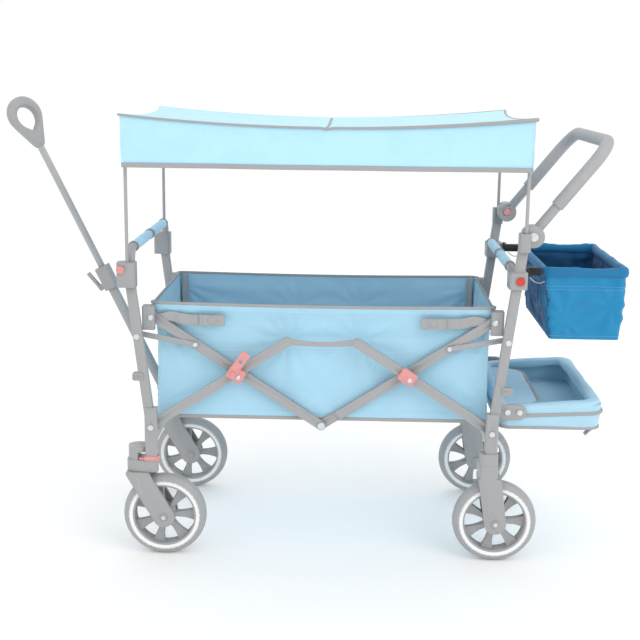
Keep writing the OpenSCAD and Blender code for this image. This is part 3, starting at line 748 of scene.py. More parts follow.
def shade_inner_faces(piece: Piece, middle: Array, facing_forwards: bool = False) -> Piece:
    """Give the piece's second finish, a darker copy of its cloth that paints shade, to the faces that look
    towards an upright axis.

    Args:
        piece: cloth walls with their thickness.
        middle: a point on the axis.
        facing_forwards: whether the faces that look towards -X get the painted shade too.
    Returns:
        The piece.
    """
    count = len(piece.data.polygons)
    centres, normals = np.zeros(count * 3), np.zeros(count * 3)
    piece.data.polygons.foreach_get("center", centres)
    piece.data.polygons.foreach_get("normal", normals)
    centres, normals = centres.reshape(-1, 3), normals.reshape(-1, 3)
    # Faces that look in towards the axis get the painted shade.
    inner = np.sum((centres - middle)[:, :2] * normals[:, :2], axis=1) < 0
    if facing_forwards:
        # Faces that look forwards, towards -X, get the painted shade too.
        inner = inner | (normals[:, 0] < -0.8)
    piece.data.polygons.foreach_set("material_index", inner.astype(np.int32))
    return piece


def cross_cut(size: Array) -> tuple[tuple[float, float], float]:
    """Return the flat size and the area of an open bag that is cut as a cross and folded up.

    Args:
        size: the bag's length, width and height.
    Returns:
        The rectangle that the cross is cut from, and the cloth's area in it.
    """
    flat = (size[0] + 2 * size[2], size[1] + 2 * size[2])
    area = size[0] * size[1] + 2 * size[2] * (size[0] + size[1])
    return flat, min(area, 0.99 * flat[0] * flat[1])


def subdivided(piece: Piece, levels: int = 1) -> Piece:
    """Round a piece with a subdivision surface."""
    surface = piece.modifiers.new("round", "SUBSURF")
    surface.levels = levels
    surface.render_levels = levels
    return applied(piece)


def inflated(piece: Piece, voxel: float, pressure: float, limit: float, frames: int = 18) -> Piece:
    """Swell a padded piece with the cloth solver and cap how far it moves.

    Args:
        piece: a closed mesh, a little smaller than the finished pad.
        voxel: size of the remeshed faces.
        pressure: air pressure inside.
        limit: the furthest that a point may move.
        frames: number of steps of the solver.
    Returns:
        The same object with its swollen mesh.
    """
    remesh = piece.modifiers.new("even", "REMESH")
    remesh.mode = "VOXEL"
    remesh.voxel_size = voxel
    applied(piece)
    rest = np.zeros(len(piece.data.vertices) * 3, np.float32)
    piece.data.vertices.foreach_get("co", rest)
    cloth = piece.modifiers.new("pad", "CLOTH")
    cloth.settings.use_pressure = True
    cloth.settings.uniform_pressure_force = pressure
    cloth.settings.effector_weights.gravity = 0
    scene = bpy.context.scene
    for frame in range(1, frames + 1):
        scene.frame_set(frame)
    applied(piece)
    scene.frame_set(1)
    moved = np.zeros_like(rest)
    piece.data.vertices.foreach_get("co", moved)
    shift = (moved - rest).reshape(-1, 3)
    length = np.linalg.norm(shift, axis=1, keepdims=True)
    shift *= np.minimum(1.0, limit / np.maximum(length, 1e-9))
    piece.data.vertices.foreach_set("co", (rest.reshape(-1, 3) + shift).astype(np.float32).ravel())
    return piece


# --------------------------------------------------------------------------- dressing


class Dresser:
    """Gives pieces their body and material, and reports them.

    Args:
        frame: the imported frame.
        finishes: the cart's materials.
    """

    def __init__(self, frame: dict, finishes: Finishes) -> None:
        """Keep the frame and the materials, and note each node's body."""
        self.frame = frame
        self.finishes = finishes
        bodies = frame["record"]["behaviour"]["bodies"]
        self.body_of_node = {node: body for body, nodes in bodies.items() for node in nodes}
        self.slot_of_node = {row["node"]: row["material_slot"] for row in frame["record"]["subparts"]}

    def dress(
        self,
        piece: Piece,
        body: str,
        slot: str,
        *materials: Finish,
        replaces: Sequence[str] = (),
    ) -> Piece:
        """Put a finished piece on its body.

        Args:
            piece: the finished object.
            body: the body that it moves with.
            slot: the record's material slot; not used.
            materials: the piece's materials, in the order of its face indices.
            replaces: nodes that it stands for.
        Returns:
            The same object.
        """
        piece.data.materials.clear()
        for material in materials:
            piece.data.materials.append(material)
        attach(piece, body)
        if replaces:
            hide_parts(*replaces)
        LOG.info("%s rides on %s", piece.name, body)
        return piece

    def refine(self, node: str, material: Finish, width: float = 0.0012, steps: int = 2) -> Piece:
        """Stand a copy of a node with rounded edges in for the node.

        The copy's doubled vertices are merged, its flat faces joined, and its sharp edges bevelled.

        Args:
            node: the node's name.
            material: its finish.
            width: width of the bevels.
            steps: faces across each bevel.
        Returns:
            The copy.
        """
        source = self.frame["nodes"][node]
        work = bmesh.new()
        work.from_mesh(source.data)
        bmesh.ops.remove_doubles(work, verts=work.verts, dist=2e-6)
        bmesh.ops.dissolve_limit(work, angle_limit=math.radians(1.0), verts=work.verts, edges=work.edges)
        mesh = bpy.data.meshes.new(f"{node}_rounded")
        work.to_mesh(mesh)
        work.free()
        piece = bpy.data.objects.new(f"{node}_rounded", mesh)
        bpy.context.scene.collection.objects.link(piece)
        bevel = piece.modifiers.new("edges", "BEVEL")
        bevel.width = width
        bevel.segments = steps
        bevel.limit_method = "ANGLE"
        bevel.angle_limit = math.radians(32)
        bevel.harden_normals = True
        applied(piece)
        smooth_by_angle(piece, 40.0)
        return self.dress(piece, self.body_of_node[node], self.slot_of_node[node], material, replaces=[node])


@dataclass
class Foldable:
    """The body that carries a cloth assembly, with figures for how much it would shorten as the cart folds.

    Args:
        body: the body that carries it.
        anchor_x: where along the cart it would stay put; not used.
        keep: share of its length that would be left when folded; not used.
    """

    body: str
    anchor_x: float
    keep: float

    def crumple(self, piece: Piece) -> Piece:
        """Give a finished piece its own copy of its mesh."""
        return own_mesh(piece)


def fold_shares(frame: dict) -> dict[str, float]:
    """Return the pivot span at rest and folded, from the positions and range of the fold's joints."""
    joints = {joint["name"]: joint for joint in frame["joints"]}
    front = np.array(joints[FOLD_JOINT]["pos_m"])
    hub = np.array(joints["hub_turn"]["pos_m"])
    corner = np.array(joints["tub_corner_turn"]["pos_m"])
    half = hub[0] - front[0]
    bar = math.hypot(half, corner[2] - front[2])
    folded = bar * math.cos(
        math.atan2(corner[2] - front[2], half) + math.radians(joints[FOLD_JOINT]["range_deg"][1])
    )
    return {"front_x": float(front[0]), "span": 2 * half, "folded_span": 2 * folded}


# --------------------------------------------------------------------------- tub


@dataclass
class Tub:
    """The cloth tub: walls, floor, bindings, stitching, straps, buckles and the padded mat.

    Args:
        dresser: puts the pieces on their bodies.
        folding: holds the body that carries the cloth.
    """

    dresser: Dresser
    folding: Foldable
    wall_rows: int = 46
    wall_columns: int = 420
    cloth: float = 0.0022
    corner_radius: float = 0.013
    flare: float = 0.012
    box: Extent = field(init=False)

    def __post_init__(self) -> None:
        """Read the tub's place from the frame."""
        self.box = Extent.of("tub_cloth")
        self.half_l = self.box.size[0] / 2 - 0.001
        self.half_w = self.box.size[1] / 2 - 0.0135
        self.mid_x = self.box.middle[0]

    def wall_grid(
        self, lift: float = 0.0, shrink: float = 0.0, columns: int | None = None, rows: Array | None = None
    ) -> Array:
        """Return the wall's points: a rounded loop, pushed in and out by folds and flared at the rim.

        Args:
            lift: distance pushed outwards along the wall's normal.
            shrink: distance that the rows keep from the rim and the bottom.
            columns: number of points round the tub.
            rows: heights as shares of the wall, from 0 at the bottom to 1 at the rim.
        Returns:
            A grid with one row for each height.
        """
        columns = columns or self.wall_columns
        v = np.linspace(0, 1, self.wall_rows) if rows is None else np.asarray(rows, float)
        loop = rounded_loop(self.half_l, self.half_w, self.corner_radius, columns)
        tangent = unit(np.roll(loop, -1, axis=0) - np.roll(loop, 1, axis=0))
        normal = np.stack([tangent[:, 1], -tangent[:, 0]], axis=-1)
        height = self.box.low[2] + shrink + v * (self.box.size[2] - 2 * shrink)
        x = np.broadcast_to(loop[:, 0], (len(v), columns))
        y = np.broadcast_to(loop[:, 1], (len(v), columns))
        z = np.broadcast_to(height[:, None], x.shape)
        push = self.push(x, y, z, np.abs(normal[:, 1])[None, :])
        # The rim follows the scissor: a little lower between the corners
        drop = 0.004 * np.sin(np.pi * (x / self.half_l + 1) / 2) * v[:, None]
        out = push + lift
        points = np.stack([x + normal[:, 0] * out + self.mid_x, y + normal[:, 1] * out, z - drop], axis=-1)
        return points

    def push(self, x: Array, y: Array, z: Array, on_side: Array) -> Array:
        """Return how far the wall stands out: slack between the bars, folds at the corners, flared rim."""
        v = (z - self.box.low[2]) / self.box.size[2]
        slack = -0.004 * np.sin(np.pi * v) ** 2
        along = np.where(on_side > 0.5, x, y * 2.2)
        folds = np.zeros_like(x)
        for corner_x in (-self.half_l, self.half_l):
            folds = folds + radial_folds(along, z, (corner_x, self.box.high[2] - 0.03), 16.0, 0.16, corner_x)
            folds = folds + 0.7 * radial_folds(along, z, (corner_x, self.box.low[2] + 0.03), 13.0, 0.10, 1.0)
        for bar_x in (-0.085, 0.085):
            folds = folds + 0.9 * radial_folds(
                along, z, (bar_x, self.box.high[2] - 0.085), 11.0, 0.09, bar_x * 30
            )
        calm = smoothstep(v, 0.0, 0.12) * (1 - smoothstep(v, 0.86, 0.97))
        wander = ripples(along, z, 5, 8, 0.075)
        pulled = -0.003 * np.exp(-(((v - 0.72) / 0.02) ** 2))
        rim = self.flare * smoothstep(v, 0.84, 1.0) * np.where(on_side > 0.5, 1.0, 0.2)
        return slack + (0.0034 * folds + 0.0018 * wander) * calm + pulled * 0.4 + rim - 0.0015

    def walls(self) -> Piece:
        """Make the walls as one sheet, with painted shade on the inner face."""
        grid = self.wall_grid()
        piece = sheet_of("tub_walls", grid, wrap=True)
        weld(piece)
        thickened(piece, self.cloth)
        smooth_by_angle(piece, 60)
        finishes = self.dresser.finishes
        # The second finish paints shade on the faces that look inwards.
        self.dresser.dress(
            piece, self.folding.body, "tub_fabric", finishes.tub, finishes.tub_inside, replaces=["tub_cloth"]
        )
        shade_inner_faces(piece, self.box.middle)
        return self.folding.crumple(piece)

    def floor(self) -> Piece:
        """Make the floor sheet, which sags a little between the bars' hubs."""
        u = np.linspace(-1, 1, 60)
        v = np.linspace(-1, 1, 36)
        x, y = np.meshgrid(u * (self.half_l - 0.004), v * (self.half_w - 0.006))
        belly = (1 - (x / self.half_l) ** 2) * (1 - (y / self.half_w) ** 2)
        z = self.box.low[2] + 0.0032 - 0.0012 * belly + 0.0004 * ripples(x, y, 9)
        grid = np.stack([x + self.mid_x, y, z], axis=-1)
        piece = thickened(sheet_of("tub_floor", grid), 0.0018)
        smooth_by_angle(piece, 60)
        self.dresser.dress(piece, self.folding.body, "tub_fabric", self.dresser.finishes.tub)
        return self.folding.crumple(piece)

    def mat(self) -> Piece:
        """Make the padded floor mat: four quilted panels with rounded edges."""
        box = Extent.of("floor_mat")
        panels, columns, rows = 4, 129, 61
        u = np.linspace(-1, 1, columns)
        v = np.linspace(-1, 1, rows)
        x, y = np.meshgrid(u, v)
        seam = np.abs(np.sin(np.pi * panels * (x + 1) / 2)) ** 0.5
        edge = (1 - x**12) * (1 - y**12)
        top = box.low[2] + 0.0012 + (box.size[2] - 0.0012) * np.clip(edge, 0, 1) ** 0.4 * (0.35 + 0.65 * seam)
        half = box.size / 2
        flat = np.stack([x * half[0] + box.middle[0], y * half[1]], axis=-1)
        upper = np.concatenate([flat, top[..., None]], axis=-1)
        lower = np.concatenate([flat, np.full_like(top, box.low[2] + 0.0006)[..., None]], axis=-1)
        count = rows * columns
        ring = np.concatenate([
            np.arange(columns), np.arange(1, rows) * columns + columns - 1,
            (rows - 1) * columns + np.arange(columns - 2, -1, -1), np.arange(rows - 2, 0, -1) * columns,
        ])
        following = np.roll(ring, -1)
        sides = np.stack([ring, following, following + count, ring + count], axis=-1)
        faces = np.concatenate([
            grid_faces(rows, columns, False, False), grid_faces(
                rows, columns, False, False, count
            )[:, ::-1], sides,
        ])
        uv = np.tile(flat.reshape(-1, 2), (2, 1))
        piece = put("tub_mat", np.concatenate([upper.reshape(-1, 3), lower.reshape(-1, 3)]), faces, uv)
        weld(piece)
        smooth_by_angle(piece, 50)
        # The mat takes the darker tub cloth, painted shade all over.
        self.dresser.dress(
            piece, self.folding.body, "tub_fabric", self.dresser.finishes.tub_inside, replaces=["floor_mat"]
        )
        return self.folding.crumple(piece)

    def edge_path(self, share: float, lift: float, count: int = 420) -> Array:
        """Return a closed path round the wall at a share of its height."""
        return self.wall_grid(lift=lift, columns=count, rows=[share])[0]

    def bindings(self) -> list[Piece]:
        """Make the black binding on the rim and the one round the bottom."""
        finishes = self.dresser.finishes
        made = []
        section = oval(0.0044, 0.0075, 12, 3.0)
        rim = tube("tub_rim_binding", self.edge_path(1.0, -0.001) - [0, 0, 0.001], section, closed=True)
        low_edge = self.edge_path(0.0, -0.0008) + [0, 0, 0.0035]
        base = tube("tub_base_binding", low_edge, oval(0.005, 0.009, 12, 3.0), closed=True)
        for piece in (rim, base):
            smooth_by_angle(piece, 60)
            self.dresser.dress(piece, self.folding.body, "webbing", finishes.binding)
            made.append(self.folding.crumple(piece))
        return made

    def stitching(self) -> Piece:
        """Make the stitch lines: rows of small raised threads at set heights round the walls."""
        rows = []
        for share, lift in ((0.945, 0.0004), (0.075, 0.0004), (0.60, 0.0004)):
            path = self.edge_path(share, lift, 1500)
            rows.append(stitches(f"row_{share}", path, 0.0032, 0.0007, closed=True))
        piece = joined("tub_stitching", rows)
        self.dresser.dress(piece, self.folding.body, "tub_fabric", self.dresser.finishes.thread)
        return self.folding.crumple(piece)

    def corner_tapes(self) -> Piece:
        """Make the black tapes down the inside of the four corners."""
        tapes = []
        for sx in (-1, 1):
            for side in Side:
                z = np.linspace(self.box.low[2] + 0.012, self.box.high[2] - 0.004, 24)
                rim = self.flare * smoothstep((z - self.box.low[2]) / self.box.size[2], 0.84, 1.0)
                x = np.full_like(z, self.mid_x + sx * (self.half_l - 0.0170))
                y = side.value * (self.half_w - 0.0170 + rim * 0.7)
                path = np.stack([x, y, z], axis=-1)
                turn = sx * side.value * math.pi / 4
                flat = oval(0.020, 0.0022, 14, 4.0)
                turned = flat @ np.array(
                    [[math.cos(turn), math.sin(turn)], [-math.sin(turn), math.cos(turn)]]
                )
                tapes.append(tube(f"tape_{sx}_{side.name}", path, turned, up=(0.0, 1.0, 0.0)))
        piece = joined("tub_corner_tapes", tapes)
        smooth_by_angle(piece, 50)
        self.dresser.dress(piece, self.folding.body, "webbing", self.dresser.finishes.binding)
        return self.folding.crumple(piece)

    def straps(self) -> list[Piece]:
        """Make the four side straps with their side-release buckles, and the slack bands between the bars."""
        finishes = self.dresser.finishes
        box = Extent.of("tub_straps")
        straps, buckles, bands = [], [], []
        strap_z = self.box.high[2] - 0.036
        for side in Side:
            wall_y = side.value * (self.half_w + 0.0075)
            for sx in (-1, 1):
                outer = self.mid_x + sx * (self.half_l - 0.012)
                u = np.linspace(0, 1, 70)
                x = outer - sx * u * 0.105
                wave = 0.0016 * np.sin(u * 16.0) * (1 - u)
                lift = 0.0035 + 0.0022 * np.sin(u * 9.0) ** 2
                z = strap_z + 0.006 * np.sin(u * 5.5) * (1 - u) - 0.004 * u
                path = np.stack([x, wall_y + side.value * (lift + wave), z], axis=-1)
                width = 1 - 0.35 * smoothstep(u, 0.35, 0.0)
                straps.append(tube("strap", path, oval(0.0022, 0.025, 14, 4.0), (0, 0, 1), scale=width))
                buckles.append(
                    buckle(x[-1] - sx * 0.018, wall_y + side.value * 0.006, z[-1], -sx, side.value)
                )
            span = box.size[0] / 2
            reach = min(span, 0.078)
            u = np.linspace(-1, 1, 90)
            x = self.mid_x + u * reach
            z = box.low[2] + 0.016 - 0.007 * (1 - u**2)
            y = side.value * (self.half_w + 0.0335 - 0.008 * (1 - u**4))
            path = np.stack([x, np.broadcast_to(y, x.shape), z], axis=-1)
            bands.append(tube("band", path, oval(0.003, 0.015, 14, 3.0), (0, 0, 1), scale=0.75 + 0.4 * u**2))
        made = []
        for name, parts, slot, material in (
            ("tub_side_straps", straps, "webbing", finishes.strap),
            ("tub_buckles", buckles, "black_plastic", finishes.buckle),
            ("tub_slack_bands", bands, "webbing", finishes.strap),
        ):
            piece = joined(name, parts)
            smooth_by_angle(piece, 45)
            replaced = ["tub_straps"] if name == "tub_side_straps" else []
            self.dresser.dress(piece, self.folding.body, slot, material, replaces=replaced)
            made.append(self.folding.crumple(piece))
        return made

    def build(self) -> None:
        """Make every piece of the tub."""
        self.walls()
        self.floor()
        self.mat()
        self.bindings()
        self.stitching()
        self.corner_tapes()
        self.straps()


def stitches(name: str, path: Array, pitch: float, radius: float, closed: bool) -> Piece:
    """Make a row of stitches: short low bars along a path, one for each pitch.

    Args:
        name: the object's name.
        path: points of the seam, close together.
        pitch: distance from one stitch to the next.
        radius: thickness of the thread.
        closed: whether the seam runs all the way round.
    Returns:
        One mesh with a few faces for each stitch.
    """
    ends = np.concatenate([path, path[:1]]) if closed else path
    along = np.concatenate([[0.0], np.cumsum(np.linalg.norm(np.diff(ends, axis=0), axis=1))])
    starts = np.arange(pitch * 0.2, along[-1] - pitch, pitch)
    at = starts[:, None] + np.array([0.0, 0.62 * pitch])[None, :]
    points = np.stack([np.interp(at, along, ends[:, k]) for k in range(3)], axis=-1)
    direction = unit(points[:, 1] - points[:, 0])
    side = unit(np.cross(direction, np.array([0.0, 0.0, 1.0]) + 1e-4))
    lift = np.cross(side, direction)
    turn = np.linspace(0, 2 * np.pi, 4, endpoint=False)
    ring = side[:, None, :] * np.cos(turn)[None, :, None] + lift[:, None, :] * np.sin(turn)[None, :, None]
    grid = points[:, :, None, :] + radius * ring[:, None, :, :]
    base = (np.arange(len(starts)) * 8)[:, None]
    quads = np.array([[0, 1, 5, 4], [1, 2, 6, 5], [2, 3, 7, 6], [3, 0, 4, 7], [3, 2, 1, 0], [4, 5, 6, 7]])
    faces = (base[:, :, None] + quads[None]).reshape(-1, 4)
    piece = put(name, grid.reshape(-1, 3), faces)
    weld(piece)
    return piece


def plate(
    name: str, outline: Array, place: Callable[
        [Array, Array], Array
    ], low: float, high: float, bevel: float = 0.0008
) -> Piece:
    """Make a plate with bevelled edges from a flat outline.

    The outline is drawn at four heights: drawn in by the bevel at the two faces, and whole between them.

    Args:
        name: the object's name.
        outline: closed outline as u and v.
        place: turns u, v pairs and a height into points.
        low: height of the lower face.
        high: height of the upper face.
        bevel: width of the bevels.
    Returns:
        The closed plate.
    """
    middle = outline.mean(axis=0)
    drawn_in = middle + (outline - middle) * (
        1 - bevel / np.linalg.norm(outline - middle, axis=1, keepdims=True)
    )
    step = min(bevel, (high - low) / 3)
    layers = [(drawn_in, low), (outline, low + step), (outline, high - step), (drawn_in, high)]
    grid = np.stack([place(shape, np.full(len(shape), level)) for shape, level in layers])
    columns = len(outline)
    faces = grid_faces(4, columns, False, True).tolist()
    faces.append(list(range(columns)))
    faces.append(list(range(3 * columns, 4 * columns)))
    piece = put(name, grid, faces)
    weld(piece)
    return piece


def on_side_wall(x: float, y: float, z: float, along: float, out: float) -> Callable[[Array, Array], Array]:
    """Return a placing for plate(): u runs along the cart, v runs up, and height runs outwards from y."""

    def place(shape: Array, level: Array) -> Array:
        """Return the points of one layer."""
        return np.stack([x + along * shape[:, 0], y + out * level, z + shape[:, 1]], axis=-1)

    return place


def buckle(x: float, y: float, z: float, along: float, out: float) -> Piece:
    """Make a side-release buckle: a body with a waist, a prong plate and a ladder bar."""
    turn = np.linspace(0, 2 * np.pi, 48, endpoint=False)
    shape = oval(0.038, 0.027, 48, 9.0)
    waist = 1 - 0.10 * np.exp(-((shape[:, 0] / 0.006) ** 2))
    body = np.stack([shape[:, 0], shape[:, 1] * waist], axis=-1)
    place = on_side_wall(x, y, z, along, out)
    parts = [plate("buckle_body", body, place, 0.0, 0.007)]
    prong = np.stack([0.004 + 0.011 * np.cos(turn), 0.0085 * np.sin(turn)], axis=-1)
    parts.append(plate("buckle_prong", prong, place, 0.006, 0.0085, 0.001))
    for at, width in ((-0.022, 0.008), (0.026, 0.016)):
        ladder = oval(width, 0.027, 32, 8.0) + [at, 0.0]
        parts.append(plate("buckle_ladder", ladder, place, 0.0005, 0.006))
    return joined("buckle", parts)


# --------------------------------------------------------------------------- canopy


@dataclass
class Canopy:
    """The canopy: a sagging top, four valances, bindings and a middle seam.

    Args:
        dresser: puts the pieces on their bodies.
        folding: holds the body that carries the cloth.
    """

    dresser: Dresser
    folding: Foldable
    cloth: float = 0.0016
    dip: float = 0.024
    cross_dip: float = 0.010
    end_bow: float = 0.020
    side_bow: float = 0.004
    hem: float = 0.0052
    box: Extent = field(init=False)

    def __post_init__(self) -> None:
        """Read the canopy's place from the frame."""
        self.box = Extent.of("canopy_cloth")
        self.half_x = self.box.size[0] / 2
        self.half_y = self.box.size[1] / 2
        self.mid_x = self.box.middle[0]
        self.top = self.box.high[2]
        self.bottom = self.box.low[2]

    def top_point(self, p: Array, q: Array) -> Array:
        """Return the top's points for shares p along and q across, both from -1 to 1.

        The long edges droop towards the middle like a slack line, and the ends bow inwards.
        """
        x = self.mid_x + p * (self.half_x - self.end_bow * (1 - q**2) * np.abs(p) ** 3)
        y = q * (self.half_y - self.side_bow * (1 - p**2))
        droop = self.dip * (1 - p**2)
        hollow = self.cross_dip * (1 - q**2) * (0.45 + 0.55 * p**2)
        seam = 0.0025 * np.exp(-((p / 0.02) ** 2))
        tension = 0.0014 * ripples(p * self.half_x, q * self.half_y, 21, 7, 0.16) * (1 - p**8) * (1 - q**8)
        pulls = np.zeros_like(p + q)
        for sp in (-1, 1):
            for sq in (-1, 1):
                fold = radial_folds(
                    p * self.half_x, q * self.half_y, (sp * self.half_x, sq * self.half_y), 9.0, 0.14, sp
                )
                pulls = pulls + fold * (1 - p**12) * (1 - q**12)
        z = self.top - 0.001 - droop - hollow - seam + tension + 0.003 * pulls
        return np.stack([x, y, z], axis=-1)

    def top_sheet(self) -> Piece:
        """Make the top."""
        p, q = np.meshgrid(np.linspace(-1, 1, 181), np.linspace(-1, 1, 101))
        grid = self.top_point(p, q)
        piece = thickened(sheet_of("canopy_top", grid), self.cloth)
        smooth_by_angle(piece, 60)
        finish = self.dresser.finishes.canopy
        self.dresser.dress(piece, self.folding.body, "canopy_fabric", finish, replaces=["canopy_cloth"])
        return self.folding.crumple(piece)

    def outline(self, count_long: int = 181, count_short: int = 101) -> Array:
        """Return the edge of the top, all the way round from the front left corner."""
        p, q = np.linspace(-1, 1, count_long), np.linspace(-1, 1, count_short)
        left = self.top_point(p, np.full_like(p, -1.0))
        rear = self.top_point(np.full_like(q, 1.0), q)[1:]
        right = self.top_point(p[::-1], np.full_like(p, 1.0))[1:]
        front = self.top_point(np.full_like(q, -1.0), q[::-1])[1:-1]
        return np.concatenate([left, rear, right, front])

    def hang(self, edge: Array, share: Array, lift: float = 0.0) -> Array:
        """Return the valance's points: straight down from the edge, with shallow waves that grow downwards.

        Args:
            edge: the edge of the top, all the way round.
            share: shares of the drop, from 0 at the edge to 1 at the hem.
            lift: distance pushed outwards.
        Returns:
            A grid with one row for each share.
        """
        tangent = unit(np.roll(edge, -1, axis=0) - np.roll(edge, 1, axis=0))
        normal = unit(np.stack([tangent[:, 1], -tangent[:, 0], np.zeros(len(edge))], axis=-1))
        along = np.concatenate([[0.0], np.cumsum(np.linalg.norm(np.diff(edge, axis=0), axis=1))])
        s, v = np.meshgrid(along, share)
        corner = np.abs(normal[:, 0] * normal[:, 1])
        waves = 0.0026 * np.sin(s * 2 * np.pi / 0.31 + 0.6) + 0.0012 * ripples(s, v * 0.12, 33, 6, 0.05)
        out = -0.0035 + waves * v * (1 - np.minimum(1.0, 3 * corner))[None, :] - 0.003 * v + lift
        drop = edge[None, :, 2] + (self.bottom + 0.001 - edge[None, :, 2]) * v
        flat = edge[None, :, :2] + normal[None, :, :2] * out[..., None]
        return np.concatenate([flat, drop[..., None]], axis=-1)

    def valance(self) -> Piece:
        """Make the four hanging sides as one sheet round the top."""
        edge = self.outline()
        grid = self.hang(edge, np.linspace(0, 1, 26))
        piece = sheet_of("canopy_valance", grid, wrap=True)
        thickened(piece, self.cloth)
        smooth_by_angle(piece, 60)
        self.dresser.dress(piece, self.folding.body, "canopy_fabric", self.dresser.finishes.canopy)
        return self.folding.crumple(piece)

    def bindings(self) -> list[Piece]:
        """Make the black hem, the piping on the top edge, and the seam across the middle."""
        edge = self.outline()
        share = self.hem / (self.top - self.bottom)
        made = []
        hem_grid = self.hang(edge, np.array([1 - 2 * share, 1 - share, 1.0]), 0.0)
        hem = tube("canopy_hem", hem_grid[1], oval(0.0042, 2.1 * self.hem, 14, 4.0), closed=True)
        rearward = 0.7 + 0.5 * smoothstep(edge[:, 0], self.mid_x - 0.1, self.mid_x + self.half_x)
        piping = tube(
            "canopy_piping", edge + [0, 0, -0.0015], oval(0.006, 0.0075, 10), closed=True, scale=rearward
        )
        q = np.linspace(-1, 1, 81)
        seam_path = self.top_point(np.zeros_like(q), q) + [0, 0, 0.001]
        seam = tube("canopy_seam", seam_path, oval(0.010, 0.0026, 12, 3.0))
        for piece in (hem, piping, seam):
            smooth_by_angle(piece, 50)
            self.dresser.dress(piece, self.folding.body, "webbing", self.dresser.finishes.binding)
            made.append(self.folding.crumple(piece))
        return made

    def stitching(self) -> Piece:
        """Make the stitch rows above the hem and under the top edge."""
        edge = self.outline()
        rows = []
        for share in (0.03, 0.89):
            path = self.hang(edge, np.array([share]), 0.0009)[0]
            rows.append(stitches(f"canopy_row_{share}", path, 0.0034, 0.0006, closed=True))
        piece = joined("canopy_stitching", rows)
        self.dresser.dress(piece, self.folding.body, "canopy_fabric", self.dresser.finishes.canopy)
        return self.folding.crumple(piece)

    def build(self) -> None:
        """Make every piece of the canopy."""
        self.top_sheet()
        self.valance()
        self.bindings()
        self.stitching()


# --------------------------------------------------------------------------- basket


